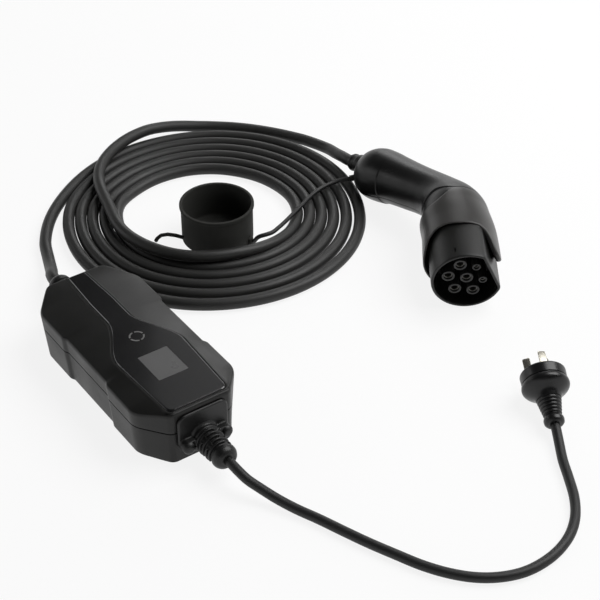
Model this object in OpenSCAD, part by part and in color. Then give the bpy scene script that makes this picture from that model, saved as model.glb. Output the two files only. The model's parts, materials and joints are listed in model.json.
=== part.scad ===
// Portable electric car charger: a control box on a coiled charging cable,
// with a seven-contact vehicle connector, its dust cap, and a mains lead with a flat-pin plug.
// Millimetres. The origin is the middle of the control box's underside, +X points along the box
// towards the mains lead, and +Z is up.

/* [Control box] */
// Length of the box over its two end faces
box_len = 202; // [190:1:215]
// Width of the box over its side walls, at the shoulder
box_w = 95; // [92:1:104]
// Height of the box to the face of its front panel
box_h = 52; // [50:0.5:56]
// Height of the shoulder, where the side walls turn into the sloping roof
shoulder_h = 46; // [44:0.5:47]
// Width of each end face, between the corner walls
end_w = 54; // [52:1:60]
// Length along the box that each sloping corner wall takes
corner_len = 25; // [22:1:30]
// How much narrower each side is at the underside than at the shoulder
draft = 4; // [2:0.5:5]
// Wall of the two box shells
wall = 2.5; // [2:0.1:3]
// Depth of the shallow grip recess along the middle of each side
recess_d = 2; // [1:0.5:3]
// Half the length of that recess
recess_half = 32; // [26:1:38]
// Length over which the recess fades into the side
recess_ramp = 5; // [3:1:8]
// Height of the top edge of the base shell
part_z = 30; // [28:1:32]
// Thickness of the gasket between the base and the cover
gasket_t = 0.8; // [0.6:0.1:1.2]

/* [Front panel] */
// Half width of the panel at its wide, display end
panel_wide = 31; // [28:0.5:33]
// Half width of the panel at its narrow, cable end
panel_narrow = 11; // [9:0.5:14]
// Half length of the curve between the two widths
panel_blend = 28; // [20:1:34]
// Thickness of the glossy panel
panel_t = 2.4; // [2:0.1:3]
// How far the panel stands above the cover round it
panel_proud = 1.1; // [0.8:0.1:1.6]
// Width of the bevel round the panel's face
panel_bevel = 0.9; // [0.4:0.1:1.2]
// Distance of the display's middle from the box's front end face
display_back = 56; // [53:1:61]
// Length of the display window, along the box
display_len = 34; // [30:1:38]
// Width of the display window
display_w = 27; // [22:1:30]
// Distance of the status ring's middle behind the display's middle
ring_back = 41; // [37:1:45]
// Outer radius of the status ring
ring_r = 6.4; // [5:0.1:8]
// Width of the status ring's line
ring_line = 1.3; // [0.8:0.1:1.8]

/* [Box fixings and electronics] */
// Radius of the case screws' shanks
screw_r = 1.5; // [1.2:0.1:1.8]
// Radius of the case screws' heads
screw_head_r = 2.8; // [2.4:0.1:3]
// Radius of the moulded screw posts
post_r = 3.6; // [3.4:0.1:4]
// Height of the main board's underside above the table
board_z = 9; // [8:0.5:11]
// Thickness of both circuit boards
board_t = 1.6; // [1.2:0.1:2]
// Length of the main board
board_len = 150; // [140:1:156]
// Height of each power relay
relay_h = 22; // [18:1:24]
// Outer radius of the current transformer's ring core
core_r = 12; // [10:0.5:13]

/* [Strain reliefs on the box] */
// Width of the rubber block in each end face
block_w = 43; // [38:1:45]
// Height of the lowest point of that block
block_z = 15; // [13:0.5:17]
// Height of that block
block_h = 30; // [26:0.5:30]
// Corner radius of that block
block_r = 6; // [3:0.5:8]
// How far the block stands out of the end face
block_out = 2.6; // [1.5:0.1:4]
// Height of the strain relief's axis above the table
relief_z = 18.5; // [17.5:0.5:20]
// Radius of the ribbed sleeve
relief_r = 12; // [10:0.5:13]
// Length of the sleeve outside the block
relief_len = 35; // [32:1:42]
// Number of ribs on the sleeve
relief_ribs = 5; // [4:1:6]
// Distance of each side lug of the block from the sleeve's axis
lug_y = 17; // [15:0.5:17]
// Radius of the side lugs
lug_r = 5.5; // [4.5:0.5:6]

/* [Cables] */
// Diameter of the charging cable
cable_d = 11.2; // [10.6:0.2:11.6]
// Diameter of the mains lead
lead_d = 8; // [7:0.2:8.4]
// Diameter of the cord that holds the dust cap
tether_d = 4; // [3:0.2:4.4]
// Radius of the coil at the middle of its outermost turn
coil_out = 142.5; // [138:0.5:144]
// Radius of the coil at the middle of its innermost turn
coil_in = 78; // [76:0.5:84]

/* [Vehicle connector] */
// Outer radius of the connector's nose
nose_r = 31.4; // [30.5:0.1:31.4]
// Distance of the nose's flat from its axis
nose_flat = 24.2; // [22.8:0.1:24.5]
// Corner radius between the nose's flat and its round side
nose_corner = 7; // [4:0.5:9]
// Wall of the nose
nose_wall = 2.6; // [2:0.1:2.8]
// Depth of the contact tubes' mouths behind the nose's rim
tube_set_back = 4.8; // [3:0.1:6]
// Depth of the floor between the tubes behind the rim
floor_depth = 30; // [26:1:34]
// Distance of the outer contacts in the middle row from the axis
row_mid = 16.5; // [16.2:0.1:16.8]
// Distance of the lower row of contacts below the axis
row_low = 14; // [13.8:0.1:14.6]
// Half the spacing of the lower and upper rows
row_half = 8.3; // [8:0.1:8.6]
// Distance of the pilot contacts above the axis
row_high = 12; // [11.5:0.1:12.4]
// Outer radius of the power contacts' tubes
tube_r = 5.8; // [5.4:0.1:6]
// Outer radius of the pilot contacts' tubes
pilot_tube_r = 3.8; // [3.4:0.1:4]
// Bore radius of a power contact, for a 6 mm pin
power_bore = 3.05; // [3:0.01:3.1]
// Bore radius of a pilot contact, for a 3 mm pin
pilot_bore = 1.55; // [1.5:0.01:1.6]
// Wall of a contact sleeve
sleeve_wall = 0.7; // [0.5:0.05:0.8]
// Wall of the grip's half shells
grip_wall = 2.4; // [2:0.1:3]
// Wall of the head cover
head_wall = 1.8; // [1.6:0.1:1.8]
// Length of the rubber boot behind the grip
boot_len = 15; // [12:1:20]

/* [Dust cap] */
// Height of the cap
cap_h = 38; // [34:1:42]
// Wall of the cap
cap_wall = 1.6; // [1.4:0.1:1.8]
// Clearance between the cap and the nose that it covers
cap_clear = 0.3; // [0.2:0.1:0.5]
// How far the cap's lip stands out
cap_lip = 1.2; // [0.8:0.1:1.4]

/* [Mains plug] */
// Radius of the plug's domed grip
plug_r = 19.9; // [19:0.1:20.5]
// Thickness of the front part, up to the groove before the grip
plug_front = 10; // [8:0.5:11]
// Length of the plug's body from its face to its sleeve
plug_body_len = 26; // [25:0.5:28]
// Length of the ribbed sleeve behind the body
plug_sleeve_len = 24; // [21:0.5:26]
// Width of each flat pin
pin_w = 6.35; // [6.2:0.05:6.5]
// Thickness of each flat pin
pin_t = 1.6; // [1.5:0.05:1.7]
// Length of the live and neutral pins outside the face
pin_len = 16.6; // [16:0.1:18]
// Length of the earth pin outside the face
earth_len = 18.5; // [18:0.1:21]
// Distance of the live and neutral pins from the plug's axis
pin_circle = 7.92; // [7.5:0.01:8.2]
// Distance of the earth pin from the plug's axis
earth_circle = 10.3; // [9.8:0.1:10.6]

/* [Hidden] */

// A gap that keeps two touching pieces apart
gap = 0.15;
// A small overlap for cutters
eps = 0.01;
// A length that reaches past the whole connector
past = 260;

// Shape helpers
function lerp(a, b, t) = a + (b - a) * t;
function smooth(t) = let (u = min(1, max(0, t))) u * u * (3 - 2 * u);
function smaller(a, b, blend) = let (h = max(blend - abs(a - b), 0) / blend) min(a, b) - h * h * blend / 4;
function drop(over, r) = let (t = min(1, max(0, over / r))) r * (1 - sqrt(1 - t * t));

// Joins rings of equal length into one closed solid. The rings run anticlockwise seen from the last one.
// A ring whose second half mirrors its first is capped in strips, so a waisted outline stays whole.
module loft(rings, strips = false) {
    n = len(rings[0]);
    top = (len(rings) - 1) * n;
    sides = [for (k = [0:len(rings) - 2]) for (i = [0:n - 1]) let (j = (i + 1) % n, a = k * n, b = a + n)
        each [[a + i, b + i, b + j], [a + i, b + j, a + j]]];
    caps = strips
        ? [for (i = [0:n / 2 - 2]) each [[i, i + 1, n - 2 - i, n - 1 - i],
            [top + n - 1 - i, top + n - 2 - i, top + i + 1, top + i]]]
        : [[for (i = [0:n - 1]) i], [for (i = [n - 1:-1:0]) top + i]];
    polyhedron([for (r = rings) each r], concat(sides, caps));
}

// Control box: one outline drives both shells, the gasket, the panel and its pocket
half_l = box_len / 2;
display_x = half_l - display_back;
ring_x = display_x - ring_back;
side_half = box_w / 2;
corner_x = half_l - corner_len;
end_r = 3;
corner_blend = 5;
floor_t = wall;
cover_z = part_z + gasket_t;
plateau_z = box_h - panel_proud;
pocket_z = box_h - panel_t;
roof_z = pocket_z - 2;
ramp_end = recess_half + recess_ramp;

station_half = concat([for (i = [1:5]) i / 5 * recess_half],
    [for (i = [1:3]) recess_half + i / 3 * recess_ramp],
    [for (i = [1:2]) lerp(ramp_end, corner_x - 5, i / 3)],
    [for (i = [-2:2]) corner_x + i * 2.5],
    [corner_x + corner_len * 0.6],
    [for (a = [0:22.5:90]) half_l - end_r * (1 - sin(a))]);
stations = concat([for (i = [len(station_half) - 1:-1:0]) -station_half[i]], [0], station_half);

// Half width of the box at the shoulder
function body_half(x) = smaller(
    side_half - recess_d * (1 - smooth((abs(x) - recess_half) / recess_ramp)),
    end_w / 2 + (half_l - abs(x)) * (side_half - end_w / 2) / corner_len,
    corner_blend) - drop(abs(x) - half_l + end_r, end_r);
// The draft fades out along the corner walls, because the end faces stand almost upright
function draft_at(x, z) = draft * (1 - z / shoulder_h) * (1 - 0.8 * smooth((abs(x) - corner_x) / corner_len));
// Half width of the glossy panel's plateau: narrow behind, wide round the display, with a curved waist
function plateau_half(x) = min(body_half(x) - 1.8,
    lerp(panel_narrow, panel_wide, smooth((x + panel_blend) / (2 * panel_blend)))
    - 0.05 * max(0, x - panel_blend) - 0.05 * max(0, -x - 2 * panel_blend)
    - drop(x - half_l + 5, 5));
// The shoulder climbs to the plateau at both ends
function shoulder_at(x) = lerp(shoulder_h, plateau_z - 0.9, smooth((abs(x) - corner_x) / corner_len));

function pair_up(xs, ws, zs) = concat(
    [for (i = [0:len(xs) - 1]) [xs[i], -ws[i], zs[i]]],
    [for (i = [len(xs) - 1:-1:0]) [xs[i], ws[i], zs[i]]]);
function level(v) = [for (x = stations) v];
function trimmed(d) = [for (x = stations) x * (half_l - d) / half_l];
// A ring of the side walls at height z, set in by d all round
function wall_ring(z, d) = pair_up(trimmed(d + 0.15 * draft * (1 - z / shoulder_h)),
    [for (x = stations) body_half(x) - draft_at(x, z) - d], level(z));
// A ring below the shoulder, which follows its height
function shoulder_ring(down, d) = pair_up(trimmed(d),
    [for (x = stations) body_half(x) - d - draft_at(x, shoulder_at(x) - down)],
    [for (x = stations) min(shoulder_at(x) - down, plateau_z - down)]);
function plateau_ring(z, out, end_in) = pair_up(trimmed(end_in),
    [for (x = stations) plateau_half(x) + out], level(z));

post_y = side_half - draft - wall - post_r + 0.6;
case_posts = [for (sx = [-1, 1], sy = [-1, 1]) [sx * (corner_x - 12), sy * post_y],
    [0, post_y - recess_d], [0, recess_d - post_y]];
board_half = post_y - recess_d - post_r - 0.6;
board_posts = [for (sx = [-1, 1], sy = [-1, 1]) [sx * (board_len / 2 - 6), sy * (board_half - 6)]];
board_top = board_z + board_t;
shelf_t = 3.5;
panel_board_z = roof_z - shelf_t - board_t;
panel_board_len = display_len + 24;
panel_board_half = display_w / 2 + 8;
panel_posts = [for (sx = [-1, 1], sy = [-1, 1])
    [display_x + sx * (panel_board_len / 2 - 3), sy * (panel_board_half - 3)]];
screw_len = 9;

// The opening that each strain relief's block fills
module block_profile(grow) {
    translate([-block_w / 2 - grow, block_z - grow])
        rounded_square(block_w + 2 * grow, block_h + 2 * grow, block_r + grow);
}

module rounded_square(w, h, r) {
    translate([r, 0]) square([w - 2 * r, h]);
    translate([0, r]) square([w, h - 2 * r]);
    for (x = [r, w - r], y = [r, h - r]) translate([x, y]) circle(r);
}

// Stands a YZ profile across the box and draws it out along X from x0 by t
module across(x0, t) {
    translate([x0, 0, 0]) rotate([90, 0, 90]) linear_extrude(t) children();
}

module end_openings() {
    for (side = [-1, 1]) across(side > 0 ? half_l - 12 : -half_l - 12, 24) block_profile(gap);
}

module base_shell() {
    color("#26272a") difference() {
        union() {
            difference() {
                loft([wall_ring(0, 1.2), wall_ring(0.5, 0.5), wall_ring(1.4, 0), wall_ring(part_z, 0)], true);
                loft([wall_ring(floor_t, wall), wall_ring(part_z + 1, wall)], true);
            }
            for (p = case_posts) translate([p[0], p[1], 1]) cylinder(h = part_z - 1, r = post_r);
            for (p = board_posts) translate([p[0], p[1], 1]) cylinder(h = board_z - 1, r = post_r);
        }
        end_openings();
        for (p = case_posts) translate([p[0], p[1], 0]) {
            translate([0, 0, -1]) cylinder(h = part_z + 2, r = screw_r + gap);
            translate([0, 0, -1]) cylinder(h = 5, r = screw_head_r + gap);
        }
        for (p = board_posts) translate([p[0], p[1], board_top - screw_len]) cylinder(h = 20, r = screw_r);
    }
}

module top_cover() {
    color("#232427") difference() {
        union() {
            difference() {
                loft([wall_ring(cover_z, 0), shoulder_ring(3.6, 0), shoulder_ring(1.2, 0.5), shoulder_ring(0, 1.7),
                    plateau_ring(plateau_z - 0.6, 1.4, 2.1), plateau_ring(plateau_z, 0.7, 2.4)], true);
                loft([wall_ring(cover_z - 1, wall), wall_ring(shoulder_h - wall - 1.5, wall),
                    wall_ring(shoulder_h - wall, wall + 1.5), plateau_ring(roof_z, 0.4, wall + 2.5)], true);
            }
            for (p = case_posts) translate([p[0], p[1], cover_z]) cylinder(h = shoulder_h - 1 - cover_z, r = post_r);
            for (p = panel_posts) translate([p[0], p[1], panel_board_z + board_t])
                cylinder(h = shelf_t + 1, r = 2.4);
        }
        loft([plateau_ring(pocket_z, -0.8, 2.9), plateau_ring(box_h, -0.8, 2.9)], true);
        translate([display_x - display_len / 2 - 0.5, -display_w / 2 - 0.5, roof_z - 1])
            cube([display_len + 1, display_w + 1, 6]);
        end_openings();
        for (p = case_posts) translate([p[0], p[1], cover_z - 1]) cylinder(h = screw_len + 1, r = screw_r);
        for (p = panel_posts) translate([p[0], p[1], panel_board_z]) cylinder(h = board_t + 4, r = screw_r);
    }
}

module case_gasket() {
    color("#161616") difference() {
        loft([wall_ring(part_z, 1), wall_ring(cover_z, 1)], true);
        loft([wall_ring(part_z - 1, wall), wall_ring(cover_z + 1, wall)], true);
        end_openings();
    }
}

module front_panel() {
    inset = -0.8 - gap;
    color("#0e0e10") difference() {
        loft([plateau_ring(pocket_z, inset, 2.9 + gap), plateau_ring(box_h - panel_bevel, inset, 2.9 + gap),
            plateau_ring(box_h, inset - panel_bevel, 2.9 + gap + panel_bevel)], true);
        translate([display_x - display_len / 2, -display_w / 2, pocket_z - 1])
            cube([display_len, display_w, panel_t + 2]);
        translate([ring_x, 0, box_h - 0.8]) ring_arcs(gap);
    }
}

// Four arcs of the status ring
module ring_arcs(grow) {
    for (a = [0:90:270]) rotate(a + 8) rotate_extrude(angle = 74) translate([ring_r - ring_line - grow, 0])
        square([ring_line + 2 * grow, 1]);
}

module status_ring() {
    color("#d8dcd8") intersection() {
        translate([ring_x, 0, box_h - 0.8]) ring_arcs(0);
        translate([ring_x - 20, -20, box_h - 0.8]) cube([40, 40, 0.8]);
    }
}

module display_module() {
    color("#7c7f80") {
        translate([display_x - display_len / 2 + gap, -display_w / 2 + gap, roof_z - eps])
            cube([display_len - 2 * gap, display_w - 2 * gap, box_h - 0.2 - roof_z]);
        translate([display_x - display_len / 2 - 4, -display_w / 2 - 3, roof_z - shelf_t])
            cube([display_len + 8, display_w + 6, shelf_t]);
    }
}

module display_board() {
    color("#1f5a38") difference() {
        translate([display_x - panel_board_len / 2, -panel_board_half, panel_board_z])
            cube([panel_board_len, 2 * panel_board_half, board_t]);
        for (p = panel_posts) translate([p[0], p[1], panel_board_z - 1]) cylinder(h = 6, r = screw_r + gap);
    }
}

module main_board() {
    color("#1f5a38") difference() {
        translate([-board_len / 2, -board_half, board_z]) cube([board_len, 2 * board_half, board_t]);
        for (p = board_posts) translate([p[0], p[1], 0]) cylinder(h = 20, r = screw_r + gap);
    }
}

module power_relays() {
    color("#2a2c33") for (y = [-18, 2]) translate([-14, y, board_top]) {
        cube([30, 16, relay_h - 1]);
        translate([1, 1, 0]) cube([28, 14, relay_h]);
    }
}

// A ring core that stands on the board, with the live conductors' window along X
module current_transformer() {
    color("#3a2f24") difference() {
        union() {
            across(-48, 10) translate([0, board_top + core_r]) circle(core_r);
            translate([-50, -core_r, board_top]) cube([14, 2 * core_r, 4]);
        }
        across(-52, 20) translate([0, board_top + core_r]) circle(core_r / 2);
    }
}

module power_supply() {
    color("#c9b458") {
        translate([26, -board_half + 4, board_top]) cube([26, 20, 17]);
        translate([23, -board_half + 2, board_top]) cube([32, 24, 2]);
        for (x = [30, 44]) translate([x, 12, board_top]) cylinder(h = 20, r = 5.5);
    }
}

// A terminal strip with one clamp screw well for each conductor
module terminal_strip(x0, count, pitch) {
    color("#3d6b46") difference() {
        translate([x0, -count * pitch / 2, board_top]) cube([12, count * pitch, 14]);
        for (i = [0:count - 1]) translate([x0 + 6, (i + 0.5 - count / 2) * pitch, board_top + 6])
            cylinder(h = 20, r = 2.4);
    }
}

module input_terminals() {
    terminal_strip(60, 3, 10);
}

module output_terminals() {
    terminal_strip(-74, 4, 9);
}

// A pan-head screw that points down from its seat at z = 0
module pan_screw(length) {
    translate([0, 0, -length]) cylinder(h = length, r = screw_r - gap / 2);
    cylinder(h = 1.8, r = 2.6);
}

module board_screws() {
    color("#b8bcc0") {
        for (p = board_posts) translate([p[0], p[1], board_top]) pan_screw(screw_len - 3);
        for (p = panel_posts) translate([p[0], p[1], panel_board_z]) mirror([0, 0, 1]) pan_screw(board_t + 3);
    }
}

module case_screws() {
    seat = 4;
    color("#9a9da0") for (p = case_posts) translate([p[0], p[1], seat]) difference() {
        union() {
            translate([0, 0, -2.4]) cylinder(h = 2.4, r = screw_head_r);
            cylinder(h = cover_z + screw_len - 2 - seat, r = screw_r - gap / 2);
        }
        translate([0, 0, -3]) cylinder(h = 2, r = 1.3, $fn = 6);
    }
}

// A rubber block that fills the end opening, with two side lugs and a ribbed sleeve round the cable
module strain_relief(cable) {
    root = half_l + block_out;
    rib_pitch = (relief_len - 15) / relief_ribs;
    difference() {
        union() {
            across(half_l - wall - 4, wall + 4 + block_out) block_profile(0);
            across(half_l + 0.4, block_out - 0.4) block_profile(1.2);
            across(half_l - wall - 5, 2.4) translate([-block_w / 2 - 1, block_z - 1])
                rounded_square(block_w + 2, block_h - 4, block_r);
            across(half_l + 0.4, block_out + 6) translate([0, relief_z]) {
                circle(relief_r);
                translate([-lug_y, -lug_r]) square([2 * lug_y, 2 * lug_r]);
            }
            for (s = [-1, 1]) translate([half_l + 0.4, s * lug_y, relief_z]) rotate([0, 90, 0]) rotate_extrude()
                polygon([[0, 0], [lug_r, 0], [lug_r, block_out + 6.6], [lug_r - 0.8, block_out + 8],
                    [lug_r - 2.4, block_out + 9], [0, block_out + 9]]);
            translate([root, 0, relief_z]) rotate([0, 90, 0]) rotate_extrude() polygon(concat([[0, 0]],
                [for (i = [0:relief_ribs - 1]) let (z = 5 + i * rib_pitch, r = relief_r - 0.3 * i)
                    each [[r - 2.2, z], [r - 0.3, z + 0.4], [r, z + 1], [r, z + rib_pitch * 0.5],
                    [r - 0.3, z + rib_pitch * 0.62], [r - 2.2, z + rib_pitch * 0.72]]],
                [[relief_r - 2.8, relief_len - 9.5], [relief_r - 1.6, relief_len - 8.6],
                [relief_r - 1.3, relief_len - 7.2], [relief_r - 1.6, relief_len - 4.6],
                [relief_r - 2.8, relief_len - 2.2], [relief_r - 4.4, relief_len - 0.7],
                [relief_r - 5.6, relief_len], [0, relief_len]]));
        }
        // the staggered slots that let the ribs flex
        for (i = [0:relief_ribs - 1], s = [0, 180]) translate([root + 5 + (i - 0.14) * rib_pitch, 0, relief_z])
            rotate([i % 2 * 90 + s + 45, 0, 0]) translate([0, -3, relief_r - 2.6]) cube([rib_pitch * 0.95, 6, 5]);
        // the cable's own channel into the box
        translate([half_l - wall - 6, 0, relief_z]) rotate([0, 90, 0]) cylinder(h = wall + 7, r = cable / 2);
    }
}

module input_strain_relief() {
    color("#18181a") strain_relief(lead_d);
}

module output_strain_relief() {
    color("#18181a") mirror([1, 0, 0]) strain_relief(cable_d);
}

// Cord routes, along the middle of each cord, as chosen points from the box or connector outwards
cord_x = half_l + block_out + relief_len;
lead_route = [[cord_x, 0, relief_z], [cord_x + 4, 0, relief_z], [151, 0.8, 17], [160, 3, 14], [171, 8, 10.4],
    [184, 14, 6.8], [199, 21, 4.5], [217, 29, 4.1], [238, 37, 4.1], [258, 45, 4.1], [278, 54, 4.1], [297, 63, 4.1],
    [314, 74, 4.1], [328, 87, 4.1], [338, 102, 4.1], [344, 119, 4.1], [345, 137, 4.1], [342, 155, 4.1],
    [335, 172, 4.1], [324, 187, 4.1], [309, 200, 4.1], [291, 211, 4.1], [274, 220.5, 4.5], [260, 229.5, 6.1],
    [249, 236.3, 8.5], [244.5, 238.7, 9.8]];
box_route = [[-cord_x, 0, relief_z], [-cord_x - 5, 0, relief_z], [-153, 2.2, 16.8], [-162, 6.5, 13],
    [-176, 12, 8.6], [-192, 18, 6.2], [-210, 23, 5.7], [-228, 30.8, 5.7], [-245, 40, 5.7], [-262, 51, 5.7]];
coil_at = [-175, 178];
connector_route = [[-92, 170, 17], [-94, 149, 17], [-103, 128, 17], [-116, 112, 17], [-132, 102, 17],
    [-151, 96, 17], [-172, 93, 17], [-195, 91, 17], [-218, 92, 17], [-240, 96, 17], [-262, 104, 17],
    [-282, 116, 17], [-298, 133, 17], [-309, 154, 17], [-317, 177, 17.1], [-321.5, 201, 16.2],
    [-322, 225.5, 11.2], [-315, 248, 6.4], [-304, 269, 5.7], [-288, 289, 5.7], [-268, 306, 5.7],
    [-245, 320, 5.7], [-220, 330, 5.8], [-197, 334, 7.6], [-178, 331.5, 12.2], [-163, 328.6, 17],
    [-151, 326.9, 20], [-146.2, 327.1, 20.9]];
tether_route = [[-106.7, 185.6, 5.4], [-105.1, 186.6, 7.7], [-103.6, 187.6, 10.5], [-101.4, 190, 12.9],
    [-99.4, 195, 13.8], [-99.2, 202, 13.8], [-102, 210, 13.7], [-107, 222, 13.7], [-113, 234.5, 13.7],
    [-119.2, 247.5, 13.7], [-125.5, 260, 13.7], [-130.2, 271, 13.7], [-133.4, 282, 13.7], [-134.6, 293, 13.8], [-132.6, 303, 15],
    [-127.2, 311, 17]];
loop_route = [[-145.1, 133.4, 9], [-149, 127.5, 11.5], [-154, 122, 12], [-159, 118, 9.6], [-162, 115.6, 5.6],
    [-163.4, 114.4, 2.2]];

function unit(v) = v / norm(v);
// A tube swept along a route, with its end faces square to the ends of the route
module cord(route, d, sides) {
    last = len(route) - 1;
    dirs = [for (i = [0:last]) unit(route[min(last, i + 1)] - route[max(0, i - 1)])];
    rings = [for (i = [0:last]) let (side = unit(cross([0, 0, 1], dirs[i])), up = cross(dirs[i], side))
        [for (k = [0:sides - 1]) let (a = 360 * k / sides)
            route[i] + d / 2 * (cos(a) * side + sin(a) * up)]];
    loft(rings);
}

module mains_lead() {
    color("#3a3a3a") cord(lead_route, lead_d, 8);
}

module cable_box_run() {
    color("#3a3a3a") cord(box_route, cable_d, 10);
}

module cable_connector_run() {
    color("#3a3a3a") cord(connector_route, cable_d, 10);
}

module cap_tether() {
    color("#2a2a2a") cord(tether_route, tether_d, 8);
}

// The outer form of the coiled turns, which lie side by side in one layer
module cable_coil() {
    r = cable_d / 2;
    color("#3a3a3a") translate([coil_at[0], coil_at[1], 0]) rotate_extrude() {
        translate([coil_in, 0]) square([coil_out - coil_in, cable_d]);
        for (x = [coil_in, coil_out]) translate([x, r]) circle(r);
    }
}

// Vehicle connector: built with its nose along +Z and its flat towards +Y, then laid on its side
nose_at = [80, 283.8, 31.5];
nose_turn = [109.4, 64.8, 73.6];

module lay_connector() {
    translate(nose_at) rotate(nose_turn) children();
}

power_places = [[0, 0], [-row_mid, 0], [row_mid, 0], [-row_half, -row_low], [row_half, -row_low]];
pilot_places = [[-row_half, row_high], [row_half, row_high]];

// The D of the nose: a circle with one flat and rounded corners, set in by d
module nose_profile(d) {
    r = nose_r - d;
    h = nose_flat - d;
    c = max(1, nose_corner - d);
    corner = sqrt((r - c) * (r - c) - (h - c) * (h - c));
    intersection() {
        circle(r);
        translate([-r, -r]) square([2 * r, r + (h - c) * r / (r - c)]);
    }
    translate([-corner, 0]) square([2 * corner, h]);
    for (s = [-1, 1]) translate([s * corner, h - c]) circle(c);
}

// The nose steps in where the head cover's collar passes over it
neck_z = -45;
neck_end = -54;
neck_in = 1.6;
module nose_shroud() {
    color("#1d1d1f") lay_connector() {
        difference() {
            union() {
                translate([0, 0, neck_z]) linear_extrude(-neck_z - 1) nose_profile(0);
                translate([0, 0, -1 - eps]) linear_extrude(1) nose_profile(0.8);
                translate([0, 0, neck_end]) linear_extrude(20) nose_profile(neck_in);
            }
            translate([0, 0, neck_end - 1]) linear_extrude(60) nose_profile(nose_wall);
        }
        // the step on which the contact carrier seats
        difference() {
            translate([0, 0, -floor_depth - 12]) linear_extrude(4) nose_profile(nose_wall - eps);
            translate([0, 0, -floor_depth - 13]) linear_extrude(6) nose_profile(nose_wall + 2.5);
        }
    }
}

// The plate that carries the contacts, a little behind the floor of their bores
plate_front = -floor_depth - 0.5;
plate_t = 7.5;
module contact_carrier() {
    color("#2e2e30") lay_connector() difference() {
        translate([0, 0, plate_front - plate_t]) linear_extrude(plate_t) nose_profile(nose_wall + gap);
        contact_channels();
    }
}

// The insulating tubes stand on the plate, one round each contact
module contact_tubes() {
    height = -tube_set_back - plate_front;
    color("#2e2e30") lay_connector() difference() {
        union() {
            for (p = power_places) translate([p[0], p[1], plate_front]) cylinder(h = height, r = tube_r);
            for (p = pilot_places) translate([p[0], p[1], plate_front]) cylinder(h = height, r = pilot_tube_r);
        }
        contact_channels();
    }
}

// The channels in which the contact sleeves sit
module contact_channels() {
    for (p = power_places) translate([p[0], p[1], -60]) cylinder(h = 60, r = power_bore + sleeve_wall + 0.05);
    for (p = pilot_places) translate([p[0], p[1], -60]) cylinder(h = 60, r = pilot_bore + sleeve_wall + 0.05);
}

// Turned contact sleeves, bored from the mouth and solid at the crimped end
module contact_sleeve(bore, mouth) {
    difference() {
        translate([0, 0, -54]) cylinder(h = 54 - mouth, r = bore + sleeve_wall);
        translate([0, 0, -floor_depth]) cylinder(h = floor_depth, r = bore);
        translate([0, 0, -55]) cylinder(h = 9, r = bore * 0.8);
    }
}

module power_contacts() {
    color("#c9ccd0") lay_connector() for (p = power_places) translate([p[0], p[1], 0])
        contact_sleeve(power_bore, tube_set_back + 2);
}

module pilot_contacts() {
    color("#c9ccd0") lay_connector() for (p = pilot_places) translate([p[0], p[1], 0])
        contact_sleeve(pilot_bore, tube_set_back + 2);
}

// A rubber ring on the neck, under the head cover
module nose_seal() {
    color("#101010") lay_connector() difference() {
        translate([0, 0, neck_z - 5]) linear_extrude(3) nose_profile(neck_in - 0.9);
        translate([0, 0, neck_z - 6]) linear_extrude(5) nose_profile(neck_in - gap / 3);
    }
}

// Sections from the hood to the rear of the grip: middle y and z, lean of the axis, half width, half depth
sections = [[-2.4, -13, 0, 35, 34.2], [-2.2, -36, 0, 34.8, 34], [-2.2, -58, 0, 33.6, 33.1],
    [-4, -76, 2, 32.8, 32.1], [-4.8, -90, 6, 30.9, 30], [-7.5, -99.6, 16, 28, 26.8], [-12.3, -109, 27, 25, 23.6],
    [-19.6, -119.7, 37, 23, 21.8], [-28.5, -130.2, 43, 22.3, 21.6], [-39, -141.5, 45, 22.4, 22.4],
    [-52.6, -156, 45, 23, 24], [-65, -168.8, 45, 24.4, 25.8], [-72, -176, 45, 24.2, 25.8], [-78, -181.8, 45, 22.2, 23.8],
    [-82.4, -186, 45, 18.8, 20.4], [-85.2, -188.8, 45, 15, 16]];
seam = 4;
ring_sides = 28;

function section_ring(s, inset) = [for (k = [0:ring_sides - 1]) let (q = -360 * (k + 0.5) / ring_sides,
    a = s[3] - inset, b = s[4] - inset)
    [a * cos(q), s[0] + b * sin(q) * cos(s[2]), s[1] - b * sin(q) * sin(s[2])]];
// A section moved back along its own axis
function behind(s, d) = [s[0] - d * sin(s[2]), s[1] - d * cos(s[2]), s[2], s[3], s[4]];

// The grip's form, whose inner side stops short of the rear wall
module grip_form(inset, first) {
    loft(concat([section_ring(behind(sections[seam], first), inset)],
        first < 0 ? [section_ring(sections[seam], inset)] : [],
        [for (i = [seam + 1:len(sections) - (inset > 0 ? 2 : 1)]) section_ring(sections[i], inset)]));
}

boot_lean = 45;
boot_at = [0, -88.5, -197];
boot_r = 9.6;
// Places a child at the rear end of the grip, looking out along its axis
module at_grip_end() {
    translate(boot_at) rotate([180 - boot_lean, 0, 0]) children();
}

// Screw posts, on both sides of the cable's path
grip_posts = [[-35, -154], [-52.5, -138], [-53, -172.5], [-79, -164.5]];
post_depth = 13;

// The barbed end of the tether, held between the two halves
tether_end = tether_route[len(tether_route) - 1];
module anchor_form(grow) {
    translate(tether_end) rotate([0, 76, 56]) translate([0, 0, 0.1])
        cylinder(h = 8 + grow, r = tether_d / 2 + 1 + grow);
}

module tether_anchor() {
    color("#161616") anchor_form(0);
}

module grip_half(side) {
    difference() {
        intersection() {
            grip_form(0, gap);
            translate([side > 0 ? gap / 3 : -past, -past, -past]) cube([past - gap / 3, 2 * past, past]);
        }
        intersection() {
            grip_form(grip_wall, -2);
            translate([-past / 2, -past, -past]) cube([past, 2 * past, past]);
        }
        at_grip_end() translate([0, 0, -14]) cylinder(h = 40, r = boot_r + gap);
    }
}

// The half that faces up, with the threaded posts
module grip_shell_left() {
    color("#202022") difference() {
        lay_connector() left_half();
        anchor_form(gap);
    }
}

module left_half() {
    union() {
        grip_half(-1);
        screw_columns(-1, post_r, screw_r);
    }
}

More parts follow.
